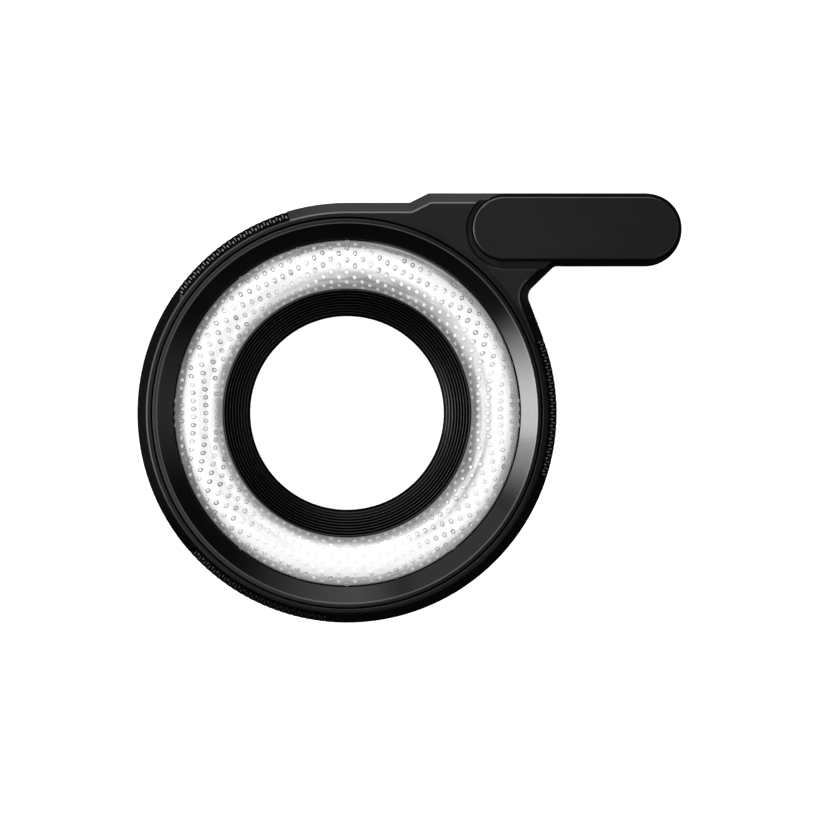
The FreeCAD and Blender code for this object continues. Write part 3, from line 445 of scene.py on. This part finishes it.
def milkyBody(net, across, turn, swirl, speck, rightShoulderShade, leftShadeBand):  # white, with painted shade as grey bands and grey edges
    m = guide["milkAndPaintedShade"]
    inwards = -1 * across
    streak = swirl.ramp(*m["streak"])
    mottle = speck.ramp(*m["mottleFrom"]).between(*m["mottle"])
    wander = (swirl - 0.5) * m["wander"]
    topBand = turn.within(*m["topTurn"]) * inwards.within(*m["topIn"])
    lowerRight = turn.within(*m["lowTurn"]) * across.within(*m["lowAcross"])
    shoulder = rightShoulderShade * m["right"] * turn.ramp(*m["rightEnd"]).between(1.0, m["rightAtEnd"])
    shoulder = shoulder + lowerRight * m["low"] + topBand * m["top"]
    shoulder = shoulder * swirl.ramp(*m["shoulderFrom"]).between(*m["shoulder"])
    inner = (inwards + wander).ramp(*m["innerIn"]) * streak.between(*m["inner"]) * mottle
    outer = (across + wander).ramp(*m["outerAcross"]) * streak.between(*m["outer"]) * mottle
    outer = outer * turn.size().ramp(*m["outerLeftTurn"]).between(1.0, m["outerLeft"])
    outer = outer * turn.within(*m["outerRightTurn"]).between(1.0, m["outerRight"])
    band = leftShadeBand * streak.between(*m["left"]) * mottle
    body = net.mix(band, grey(guide["white"]), grey(guide["leftBandPaintedShade"]))
    body = net.mix(shoulder, body, grey(guide["shoulderPaintedShade"]))
    body = net.mix(inner, body, grey(guide["innerPaintedShade"]))
    return net.mix(outer, body, grey(guide["outerPaintedShade"]))


def milkyDots(net, body, dome, across, turn, cloud, rightShoulderShade, leftShadeBand):  # painted shade as dark rings and grey fills, painted highlights as light tops
    d = guide["dots"]
    rim = dome.ramp(*d["rimFrom"]) * (1 - dome.ramp(*d["rimTo"]))
    fill = dome.ramp(*d["fillFrom"]) * dome.ramp(*d["fillTo"]).between(1.0, d["fillOnTop"])
    bottom = turn.within(*d["bottomTurn"]) * (1 - across.ramp(*d["bottomAcross"]))
    edge = (across.ramp(*d["edgeRight"]) * turn.within(*d["edgeRightTurn"])).between(1.0, d["edgeAtRight"])
    edge = across.size().ramp(*d["edge"]) * edge
    faint = bottom.between(1.0, d["bottom"]) * rightShoulderShade.between(1.0, d["rightShoulderShade"])
    faint = faint * cloud.ramp(*d["cloudFrom"]).between(*d["cloud"]) * edge.between(1.0, d["atEdge"])
    faint = faint * (turn.within(*d["paleTurn"]) * across.within(*d["paleAcross"])).between(1.0, d["pale"])
    body = net.mix(fill * faint * leftShadeBand.between(*d["fill"]), body, grey(guide["dotFillPaintedShade"]))
    body = net.mix(rim * faint * d["rim"], body, grey(guide["dotRimPaintedShade"]))
    domeHighlights = dome.ramp(*d["topFrom"]) * d["top"] + dome.ramp(*d["capFrom"]) * rightShoulderShade * d["cap"]
    body = net.mix(domeHighlights, body, grey(guide["domePaintedHighlight"]))
    return net.mix(dome.ramp(*d["edgeCapFrom"]) * edge * d["edgeCap"], body, grey(guide["domePaintedHighlight"]))


def milkyGuide():
    # painted glow: the guide gives off light though no lamp lights it
    look = {"Roughness": 0.25, "IOR": 1.49, "Coat Weight": 0.5, "Coat Roughness": 0.12,
            "Emission Strength": 2 * guide["glow"]}
    material, net, shader = newMaterial("milkyGuide", look)
    m = guide["milkAndPaintedShade"]
    where = place(net)
    radius, turn = around(net, where)
    across = (radius - guide["radius"]) / guide["half"]   # -1 at the inner edge, 1 at the outer
    cloud = grain(net, where, *m["cloud"])
    swirl = grain(net, vector(net, radius * m["swirlAcross"], turn * m["swirlAlong"], 0.0), *m["swirl"])
    speck = grain(net, where, m["speck"])
    rightShoulderShade = turn.within(*m["rightTurn"]) * (-1 * across).within(*m["rightIn"])
    leftShadeBand = turn.size().ramp(*m["leftTurn"]) * across.within(*m["leftAcross"])
    body = milkyBody(net, across, turn, swirl, speck, rightShoulderShade, leftShadeBand)
    dome = net.node("ShaderNodeAttribute", {"attribute_name": "domeAcross"}, out="Fac")
    dome = dome * speck.between(*guide["dots"]["uneven"])
    body = milkyDots(net, body, dome, across, turn, cloud, rightShoulderShade, leftShadeBand)
    # painted shade on the ledge at the tube's outer edge and on the pipe seen beyond the tube
    ledge = radius.ramp(*m["ledge"]) * parted(net, where)[2].ramp(*m["ledgeZ"])
    body = net.mix(ledge, body, grey(guide["ledgePaintedShade"]))
    body = net.mix(radius.ramp(*m["pipe"]) * (1 - dome.ramp(*m["overDome"])), body, grey(guide["pipePaintedShade"]))
    # the painted glow's colour: half the body's colour, with a set grey at the tube's edges
    glow = net.mix(m["glowShare"], body, grey(0.0))
    darker = (across > 0.0) * turn.size().ramp(*m["darkerTurn"])
    edgeGlow = net.mix(darker, grey(guide["openGlow"]), grey(guide["edgeGlow"]))
    glow = net.mix(across.size().ramp(*m["glowEdge"]) * (1 - ledge), glow, edgeGlow)
    feed(net, shader, Base_Color=body, Emission_Color=glow)
    return material


plastics = {name: mouldedPlastic(name) for name in mouldLooks}
metals = {name: turnedMetal(name) for name in metalLooks}
foam = foamRubber()
felt = blackFelt()
window = clearWindow()
bezelGloss = glossyBezel()
milky = milkyGuide()
print("materials made")


# meshes

meshing = {"sharp": 32, "toothSharp": 40, "turnSteps": 360, "straight": 88, "mostCut": 0.45}


def link(name, mesh):
    piece = bpy.data.objects.new(name, mesh)
    scene.collection.objects.link(piece)
    return piece


def meshFrom(name, points, faces):
    mesh = bpy.data.meshes.new(name)
    mesh.from_pydata(points, [], faces)
    mesh.validate()
    mesh.polygons.foreach_set("use_smooth", [True] * len(mesh.polygons))
    mesh.set_sharp_from_angle(angle=math.radians(meshing["sharp"]))
    mesh.update()
    return mesh


def bridged(rows, count):  # faces between neighbouring rows of a closed band, each of count points
    faces = []
    for row in range(rows):
        here, there = row * count, (row + 1) % rows * count
        for i in range(count):
            j = (i + 1) % count
            faces.append((here + i, there + i, there + j, here + j))
    return faces


def spin(profile):  # a closed (radius, height) outline, anticlockwise, turned about Z
    steps = meshing["turnSteps"]
    points = []
    for step in range(steps):
        turn = 2 * math.pi * step / steps
        points += [(r * math.cos(turn) * mm, r * math.sin(turn) * mm, z * mm) for r, z in profile]
    return points, bridged(steps, len(profile))


def rounded(profile, radius, parts=4):  # the outline with each corner cut round
    result = []
    count = len(profile)
    for i, corner in enumerate(profile):
        here = Vector(corner)
        before = Vector(profile[i - 1]) - here
        after = Vector(profile[(i + 1) % count]) - here
        half = before.angle(after) / 2
        if half > math.radians(meshing["straight"]):
            result.append(tuple(here))
            continue
        reach = min(radius / math.tan(half), min(before.length, after.length) * meshing["mostCut"])
        inset = (before.normalized() + after.normalized()).normalized() * (reach / math.cos(half))
        centre = here + inset
        start = here + before.normalized() * reach - centre
        end = here + after.normalized() * reach - centre
        swing = start.angle_signed(end)
        for part in range(parts + 1):
            turn = -swing * part / parts
            c, s = math.cos(turn), math.sin(turn)
            result.append((centre.x + start.x * c - start.y * s, centre.y + start.x * s + start.y * c))
    return result


def block(points, low, high):  # an upright prism on an outline
    count = len(points)
    ends = [(x * mm, y * mm, z * mm) for z in (low, high) for x, y in points]
    sides = [(i, (i + 1) % count, count + (i + 1) % count, count + i) for i in range(count)]
    return ends, sides + [tuple(range(count))[::-1], tuple(range(count, 2 * count))]


def joined(*parts):
    points, faces = [], []
    for morePoints, moreFaces in parts:
        first = len(points)
        points += morePoints
        faces += [tuple(first + i for i in face) for face in moreFaces]
    return points, faces


def geometryTree(name, sizes):
    tree = bpy.data.node_groups.new(name, "GeometryNodeTree")
    tree.interface.new_socket("Geometry", in_out="INPUT", socket_type="NodeSocketGeometry")
    for label, value in sizes.items():
        kind = "NodeSocketInt" if isinstance(value, int) else "NodeSocketFloat"
        tree.interface.new_socket(label, in_out="INPUT", socket_type=kind)
    tree.interface.new_socket("Geometry", in_out="OUTPUT", socket_type="NodeSocketGeometry")
    net = Net(tree)
    entry = tree.nodes.new("NodeGroupInput")
    return tree, net, {socket.name: Wire(net, socket) for socket in entry.outputs if socket.name}


def finishTree(net, parts, material):
    whole = net.node("GeometryNodeJoinGeometry", None, Geometry=parts)
    real = net.node("GeometryNodeRealizeInstances", None, whole)
    smooth = net.node("GeometryNodeSetShadeSmooth", None, real)
    painted = net.node("GeometryNodeSetMaterial", None, smooth, Material=material)
    net.tree.links.new(painted.socket, net.tree.nodes.new("NodeGroupOutput").inputs[0])


def grown(name, mesh, tree, sizes):  # runs a tree on a mesh and keeps the result as a plain mesh
    piece = link(name, mesh)
    modifier = piece.modifiers.new("shape", "NODES")
    modifier.node_group = tree
    for item in tree.interface.items_tree:
        if item.in_out == "INPUT" and item.name in sizes:
            modifier[item.identifier] = sizes[item.name]
    result = bpy.data.meshes.new_from_object(piece.evaluated_get(bpy.context.evaluated_depsgraph_get()))
    piece.modifiers.remove(modifier)
    piece.data = result
    result.name = name
    return piece


# light guide

def domeTree():  # dots of a straight staggered grid, stretched across the tube as its round top shows them
    g = guide
    sizes = {"Grid Step": g["gridStep"], "Grid Half": g["gridHalf"], "Ring": g["radius"], "Half": g["half"],
             "Height": g["low"] + g["foot"], "Shift": g["shift"], "Stretch": g["stretch"], "Bend": g["bend"],
             "Dome": g["dome"] * mm, "Long": g["domeLong"], "Rise": g["domeHigh"] * mm}
    tree, net, entry = geometryTree("domesOnTube", sizes)
    index = net.node("GeometryNodeInputIndex")
    across = 2 * entry["Grid Half"] + 1
    column = index % across - entry["Grid Half"]
    row = (index / across).floor() - entry["Grid Half"] + 0.5 * (column % 2)
    x, y = column * entry["Grid Step"], row * entry["Grid Step"]
    radius = (x * x + y * y) ** 0.5 + 0.001   # never quite 0
    offset = radius - entry["Ring"]
    seen = entry["Shift"] + entry["Stretch"] * offset + entry["Bend"] * offset * offset * offset
    share = seen / entry["Half"]
    turn = y.maths("ARCTAN2", y, x)
    onTube = (offset.size() < g["gridReach"]) * (share > g["innermost"]) * (share < g["outermost"])
    inPipe = (turn * degrees > g["pipe"]["lowTurn"]) * (turn * degrees < g["pipe"]["highTurn"])
    inPipe = (share > g["pipeFrom"]) * inPipe
    tilt = share.maths("ARCSINE", share)
    reach = (entry["Ring"] + seen) * mm
    height = (entry["Height"] + entry["Half"] * tilt.cos()) * mm
    spot = vector(net, reach * turn.cos(), reach * turn.sin(), height)
    up = vector(net, tilt.sin() * turn.cos(), tilt.sin() * turn.sin(), tilt.cos())
    points = net.node("GeometryNodePoints", None, Count=across * across, Position=spot)
    ball = net.node("GeometryNodeMeshUVSphere", None, Segments=g["domeSegments"], Rings=g["domeRings"],
                    Radius=entry["Dome"])
    x, y, z = parted(net, net.node("GeometryNodeInputPosition"))
    ball = net.node("GeometryNodeDeleteGeometry", {"domain": "FACE"}, ball, z < 0.0)
    middle = 1 - (x * x + y * y) ** 0.5 / entry["Dome"]
    marked = net.node("GeometryNodeStoreNamedAttribute", {"data_type": "FLOAT", "domain": "POINT"}, ball,
                      Name="domeAcross", Value=middle)
    flat = net.node("GeometryNodeTransform", None, marked,
                    Scale=vector(net, 1.0, 1.0, entry["Rise"] / entry["Dome"]))
    facing = net.node("FunctionNodeAlignRotationToVector", {"axis": "Z"}, Vector=up)
    facing = net.node("FunctionNodeAlignRotationToVector", {"axis": "Y", "pivot_axis": "Z"}, Rotation=facing,
                      Vector=vector(net, turn.cos(), turn.sin(), 0.0))
    stretch = entry["Long"] * (entry["Stretch"] + 3 * entry["Bend"] * offset * offset)
    stretch = (stretch.most(g["leastStretch"]) / (tilt.cos() + g["tiltLimit"])).least(g["mostStretch"])
    domes = net.node("GeometryNodeInstanceOnPoints", None, points, Selection=onTube * (1 - inPipe),
                     Instance=flat, Rotation=facing, Scale=vector(net, 1.0, stretch, 1.0))
    finishTree(net, [entry["Geometry"], domes], milky)
    return tree, sizes


def widen(mesh):  # lets the tube's outer half reach a little nearer the cone
    ring, half = guide["radius"] * mm, guide["half"] * mm
    for vertex in mesh.vertices:
        radius = math.hypot(vertex.co.x, vertex.co.y)
        if ring < radius < ring + guide["easeReach"] * half:
            grow = (ring + (radius - ring) * (1 + guide["ease"] / guide["half"])) / radius
            vertex.co.x *= grow
            vertex.co.y *= grow
    mesh.update()


def lightGuide():
    centre, half, low = guide["radius"], guide["half"], guide["low"]
    steps = guide["arcSteps"]
    turns = [math.pi * i / steps for i in range(steps + 1)]
    arc = [(centre + half * math.cos(turn), low + guide["foot"] + half * math.sin(turn)) for turn in turns]
    ring = spin([(centre - half, low), (centre + half, low), *arc])
    pipe = block(pipeOutline(), low, low + guide["pipe"]["thick"])
    mesh = meshFrom("domedGuide", *joined(ring, pipe, pipeHead()))
    tree, sizes = domeTree()
    piece = grown("domedGuide", mesh, tree, sizes)
    widen(piece.data)
    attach(piece, "housing")
    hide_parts("light_guide")


def polar(radius, turn):
    return radius * math.cos(math.radians(turn)), radius * math.sin(math.radians(turn))


def pipeOutline():
    p = guide["pipe"]
    low, high, end = p["middle"] - p["half"], p["middle"] + p["half"], p["headStart"] + p["overlap"]
    return [polar(p["inner"], p["lowTurn"]), polar(p["outer"], p["lowTurn"]), (p["bend"], low), (end, low),
            (end, high), (p["bend"], high),
            polar(p["outer"], p["highTurn"]), polar(p["inner"], p["highTurn"])]


def pipeHead():
    p = guide["pipe"]
    low = guide["low"]
    side = [(p["headStart"], low), (p["headEnd"], low), (p["headEnd"] - p["facetRun"], p["headHigh"]),
            (p["headStart"], p["headHigh"])]
    points = [(x * mm, (p["middle"] - p["headHalf"]) * mm, z * mm) for x, z in side]
    points += [(x * mm, (p["middle"] + p["headHalf"]) * mm, z * mm) for x, z in side]
    faces = [(0, 1, 2, 3), (7, 6, 5, 4)] + [(i, 4 + i, 4 + (i + 1) % 4, (i + 1) % 4) for i in range(4)]
    return points, faces


lightGuide()
print("light guide made")


# ribbed cone round the hole

baffle = {
    "hole": 12.2, "lip": 1.75, "low": 5.3, "foot": 6.35, "firstCrest": 6.8, "top": 10.25, "outer": 15.55,
    "floorIn": 0.25, "floorOut": 0.3, "floorRound": 0.05,
    "ribs": 9, "pitch": 0.355, "crest": 0.12, "deep": 0.62, "round": 0.055, "ringSteps": 300, "roundSteps": 4,
}
baffleRise = (baffle["top"] - baffle["firstCrest"]) / baffle["ribs"]   # from one rib to the next


def ribTree():
    b = baffle
    firstRadius = b["outer"] - b["crest"] / 2 - b["pitch"] * (b["ribs"] - 1)
    firstHeight = b["firstCrest"] + baffleRise - b["deep"] / 2
    sizes = {"Ribs": b["ribs"], "First Radius": firstRadius * mm, "Pitch": b["pitch"] * mm,
             "First Height": firstHeight * mm, "Rise": baffleRise * mm, "Crest": b["crest"] * mm,
             "Deep": b["deep"] * mm, "Round": b["round"] * mm}
    tree, net, entry = geometryTree("ribRings", sizes)
    rib = net.node("GeometryNodeInputIndex")
    spot = vector(net, 0.0, 0.0, entry["First Height"] + rib * entry["Rise"])
    points = net.node("GeometryNodePoints", None, Count=entry["Ribs"], Position=spot)
    circle = net.node("GeometryNodeCurvePrimitiveCircle", {"mode": "RADIUS"}, Resolution=b["ringSteps"],
                      Radius=1.0)
    reach = entry["First Radius"] + rib * entry["Pitch"]
    rings = net.node("GeometryNodeInstanceOnPoints", None, points, Instance=circle,
                     Scale=vector(net, reach, reach, 1.0))
    rings = net.node("GeometryNodeRealizeInstances", None, rings)
    bar = net.node("GeometryNodeCurvePrimitiveQuadrilateral", {"mode": "RECTANGLE"},
                   Width=entry["Crest"], Height=entry["Deep"])
    bar = net.node("GeometryNodeFilletCurve", {"mode": "POLY"}, bar, Radius=entry["Round"],
                   Count=b["roundSteps"])
    ribs = net.node("GeometryNodeCurveToMesh", None, rings, bar)
    finishTree(net, [entry["Geometry"], ribs], plastics["baffle"])
    return tree, sizes


def ribbedBaffle():
    b = baffle
    inside, outside = b["firstCrest"] - b["floorIn"], b["top"] - baffleRise - b["floorOut"]
    profile = [(b["hole"], b["low"]), (b["hole"] + b["lip"], b["low"]), (b["hole"] + b["lip"], b["foot"]),
               (b["outer"], b["foot"]), (b["outer"], outside), (b["outer"] - b["crest"], outside),
               (b["hole"], inside)]
    mesh = meshFrom("ribbedBaffle", *spin(rounded(profile, b["floorRound"])))
    tree, sizes = ribTree()
    piece = grown("ribbedBaffle", mesh, tree, sizes)
    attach(piece, "housing")
    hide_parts("lens_baffle")


ribbedBaffle()
print("ribbed baffle made")


# ribs along the lock ring's teeth

grip = {
    "zones": 3, "zoneTurn": 2.8, "teeth": 23, "pitch": 1.83, "reach": 25.88, "high": 4.5, "lean": 27.0,
    "long": 0.98, "wide": 0.12, "deep": 0.6, "shortLong": 0.36, "shortWide": 0.2,
}


def toothTree():  # a bar on each tooth and a short one half a pitch beside it
    g = grip
    sizes = {"Teeth": g["teeth"], "Zones": g["zones"], "Reach": g["reach"] * mm, "High": g["high"] * mm,
             "Long": g["long"] * mm, "Wide": g["wide"] * mm, "Deep": g["deep"] * mm,
             "Short Long": g["shortLong"] * mm, "Short Wide": g["shortWide"] * mm}
    tree, net, entry = geometryTree("toothRibs", sizes)
    index = net.node("GeometryNodeInputIndex")
    tooth = index % entry["Teeth"]
    zone = (index / entry["Teeth"]).floor()
    turn = math.radians(g["zoneTurn"]) + zone * math.radians(360 / g["zones"])
    turn = turn + (tooth - (g["teeth"] - 1) / 2) * math.radians(g["pitch"])
    spot = vector(net, entry["Reach"] * turn.cos(), entry["Reach"] * turn.sin(), entry["High"])
    points = net.node("GeometryNodePoints", None, Count=entry["Teeth"] * entry["Zones"], Position=spot)
    aside = entry["Reach"] * math.radians(g["pitch"]) * 0.5
    bars = []
    for long, wide, shift in (("Long", "Wide", 0.0), ("Short Long", "Short Wide", aside)):
        size = vector(net, entry[long], entry[wide], entry["Deep"])
        bar = net.node("GeometryNodeMeshCube", None, Size=size)
        lowered = vector(net, 0.0, shift, entry["Deep"] * -0.5)
        bars.append(net.node("GeometryNodeTransform", None, bar, Translation=lowered))
    pair = net.node("GeometryNodeJoinGeometry", None, Geometry=bars)
    lean = net.node("FunctionNodeEulerToRotation", None, vector(net, 0.0, math.radians(g["lean"]), turn))
    ribs = net.node("GeometryNodeInstanceOnPoints", None, points, Instance=pair, Rotation=lean)
    finishTree(net, [entry["Geometry"], ribs], plastics["tooth"])
    return tree, sizes


def toothRibs():
    tree, sizes = toothTree()
    piece = grown("toothRibs", bpy.data.meshes.new("toothRibs"), tree, sizes)
    piece.data.set_sharp_from_angle(angle=math.radians(meshing["toothSharp"]))
    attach(piece, "lock_ring")


toothRibs()
print("tooth ribs made")


# soft pieces

soft = {"uneven": 0.03, "lumps": 2.2, "sinkFrom": (0.25, 0.75)}


def softTree(name, material):  # sinks the surface a little, unevenly, as pressed foam and felt are
    sizes = {"Uneven": soft["uneven"] * mm, "Lumps": soft["lumps"]}
    tree, net, entry = geometryTree(name, sizes)
    where = scaled(net, net.node("GeometryNodeInputPosition"), 1 / mm)
    noise = grain(net, where, entry["Lumps"])
    depth = noise.ramp(*soft["sinkFrom"]) * entry["Uneven"] * -1
    sunk = scaled(net, net.node("GeometryNodeInputNormal"), depth)
    shaped = net.node("GeometryNodeSetPosition", None, entry["Geometry"], Offset=sunk)
    finishTree(net, [shaped], material)
    return tree, sizes


seal = {"inner": 17.45, "outer": 19.65, "low": 4.87, "high": 5.23, "round": 0.17, "roundSteps": 5}


def feltRing():
    s = seal
    outline = [(s["inner"], s["low"]), (s["outer"], s["low"]),
               (s["outer"], s["high"]), (s["inner"], s["high"])]
    mesh = meshFrom("feltRing", *spin(rounded(outline, s["round"], s["roundSteps"])))
    tree, sizes = softTree("feltRing", felt)
    piece = grown("feltRing", mesh, tree, sizes)
    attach(piece, "housing")
    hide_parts("light_seal")


gasket = {"wall": 0.9, "corner": 1.07, "cornerSteps": 8, "ease": 0.3, "easeSteps": 5}


def squarePath(half, radius, parts):  # points of a rounded square and their outward directions
    result = []
    for corner, signs in enumerate(((1, 1), (-1, 1), (-1, -1), (1, -1))):
        middle = [(half - radius) * sign for sign in signs]
        for part in range(parts + 1):
            out = polar(1, 90 * corner + 90 * part / parts)
            result.append((middle[0] + radius * out[0], middle[1] + radius * out[1], *out))
    return result


def foamFrame():
    low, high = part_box("inlet_gasket")
    middle = (low + high) / 2 / mm
    half = (high.x - low.x) / 2 / mm
    bottom, top, wall = low.z / mm, high.z / mm, gasket["wall"]
    section = [(-wall, bottom), (0, bottom), (0, top), (-wall, top)]
    section = rounded(section, gasket["ease"], gasket["easeSteps"])
    path = squarePath(half, gasket["corner"], gasket["cornerSteps"])
    points = [((middle.x + x + across * ox) * mm, (middle.y + y + across * oy) * mm, z * mm)
              for x, y, ox, oy in path for across, z in section]
    mesh = meshFrom("foamFrame", points, bridged(len(path), len(section)))
    tree, sizes = softTree("foamFrame", foam)
    piece = grown("foamFrame", mesh, tree, sizes)
    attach(piece, "housing")
    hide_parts("inlet_gasket")


feltRing()
foamFrame()
print("soft pieces made")


# CAD pieces that keep their shape

kept = {
    "front_shell": plastics["shell"], "hood_cap": plastics["pad"], "bezel_ring": bezelGloss,
    "lock_ring": plastics["grip"], "hood_base": plastics["shell"],
    "rear_cover": plastics["inner"], "ring_retainer": plastics["inner"], "ring_reflector": plastics["white"],
    "pipe_reflector": plastics["white"], "slip_washer": plastics["washer"], "inlet_lens": window,
    "bayonet_plate": metals["plate"], "bayonet_screws": metals["screw"], "hood_screws": metals["screw"],
    "cover_screws": metals["screw"], "retainer_screws": metals["screw"], "stop_key": metals["spring"],
    "detent_spring": metals["spring"],
}
for node, material in kept.items():
    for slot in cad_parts[node].material_slots:
        slot.material = material
print("CAD pieces finished")


# floor, light and camera

stage = {"floor": 3.0, "drop": 0.02, "shade": 0.9, "spread": 0.03, "patches": 0.02, "roughness": 0.8,
         "glow": 0.75, "sky": 1.0}


def floor():
    half = stage["floor"]
    low = -stage["drop"] * mm
    mesh = meshFrom("floor", [(-half, -half, low), (half, -half, low), (half, half, low), (-half, half, low)],
                    [(0, 1, 2, 3)])
    look = {"Roughness": stage["roughness"], "Emission Color": grey(1.0), "Emission Strength": stage["glow"]}
    material, net, shader = newMaterial("paleFloor", look)
    low, high = grey(stage["shade"]), grey(stage["shade"] * (1 + stage["spread"]))
    feed(net, shader, Base_Color=net.mix(grain(net, place(net), stage["patches"]), low, high))
    mesh.materials.append(material)
    piece = link("floor", mesh)
    piece.visible_glossy = False


overhead = {"high": 3.6, "wide": 4.2, "bright": 0.165}

cards = {  # seen in reflections only: turn and elevation in degrees, and how far each edge fades, as shares
    "leftMain": {"turn": (149, 214), "rise": (1, 27), "fade": (0.46, 0.48, 0.3, 0.3), "bright": 13.0},
    "leftEdge": {"turn": (110, 212), "rise": (-7, 5), "fade": (0.15, 0.12, 0.25, 0.4), "bright": 5.5},
    "topLow": {"turn": (50, 110), "rise": (-8, 24), "fade": (0.8, 0.2, 0.1, 0.25), "bright": 1.5},
    "topLeftLow": {"turn": (96, 172), "rise": (6, 24), "fade": (0.15, 0.2, 0.2, 0.25), "bright": 0.65},
    "highLeft": {"turn": (60, 245), "rise": (24, 60), "fade": (0.13, 0.36, 0.18, 0.25), "bright": 6.5},
    "rightLow": {"turn": (-34, 26), "rise": (2, 24), "fade": (0.5, 0.45, 0.25, 0.25), "bright": 0.42},
    "highRight": {"turn": (-75, 50), "rise": (26, 52), "fade": (0.3, 0.25, 0.2, 0.25), "bright": 2.1},
}
cardMesh = {"reach": 0.6, "turnSteps": 24, "riseSteps": 8}


def softCard(name, card):  # a patch of a sphere round the part, brightest in its middle
    reach, turnSteps, riseSteps = cardMesh["reach"], cardMesh["turnSteps"], cardMesh["riseSteps"]
    points, uvs = [], []
    for i in range(turnSteps + 1):
        for j in range(riseSteps + 1):
            u, v = i / turnSteps, j / riseSteps
            x, y = polar(1, card["turn"][0] + (card["turn"][1] - card["turn"][0]) * u)
            rise = math.radians(card["rise"][0] + (card["rise"][1] - card["rise"][0]) * v)
            points.append((reach * x * math.cos(rise), reach * y * math.cos(rise), reach * math.sin(rise)))
            uvs.append((u, v))
    faces = []
    for i in range(turnSteps):
        for j in range(riseSteps):
            here = i * (riseSteps + 1) + j
            faces.append((here, here + 1, here + riseSteps + 2, here + riseSteps + 1))
    mesh = meshFrom(name, points, faces)
    layer = mesh.uv_layers.new(name="UVMap")
    for loop in mesh.loops:
        layer.data[loop.index].uv = uvs[loop.vertex_index]
    material, net, shader = newMaterial(name, {"Base Color": grey(0.0), "Specular IOR Level": 0.0,
                                               "Emission Strength": card["bright"]})
    u, v, w = parted(net, net.node("ShaderNodeUVMap", {"uv_map": "UVMap"}))
    left, right, low, high = card["fade"]
    shape = u.ramp(0, left) * (1 - u).ramp(0, right) * v.ramp(0, low) * (1 - v).ramp(0, high)
    feed(net, shader, Emission_Color=net.mix(shape, grey(0.0), grey(1.0)))
    mesh.materials.append(material)
    piece = link(name, mesh)
    piece.visible_camera = False
    piece.visible_diffuse = False
    piece.visible_shadow = False
    piece.visible_transmission = False


def lights():
    light = bpy.data.lights.new("overhead", "AREA")
    light.shape = "RECTANGLE"
    light.size = light.size_y = overhead["wide"]
    light.energy = overhead["bright"] * math.pi * overhead["wide"] ** 2
    piece = bpy.data.objects.new("overhead", light)
    piece.location = (0, 0, overhead["high"])
    scene.collection.objects.link(piece)
    for name, card in cards.items():
        softCard(name, card)


def sky():
    world = bpy.data.worlds.new("studio")
    world.use_nodes = True
    world.node_tree.nodes.clear()
    net = Net(world.node_tree)
    glow = net.node("ShaderNodeBackground", None, Color=grey(1.0), Strength=stage["sky"])
    net.node("ShaderNodeOutputWorld", None, out=None, Surface=glow)
    world.cycles_visibility.glossy = False
    scene.world = world


lens = {"distance": 3.0, "sensor": 36.0, "frame": 0.1032, "aim": (0.00789, 0.00044), "level": 0.011,
        "far": 50}


def camera():
    data = bpy.data.cameras.new("camera")
    data.sensor_width = lens["sensor"]
    data.lens = lens["sensor"] * lens["distance"] / lens["frame"]
    data.clip_end = lens["far"]
    piece = bpy.data.objects.new("camera", data)
    piece.location = (*lens["aim"], lens["distance"] + lens["level"])
    scene.collection.objects.link(piece)
    scene.camera = piece


floor()
lights()
sky()
camera()
scene.view_settings.view_transform = "Standard"
print("stage set")
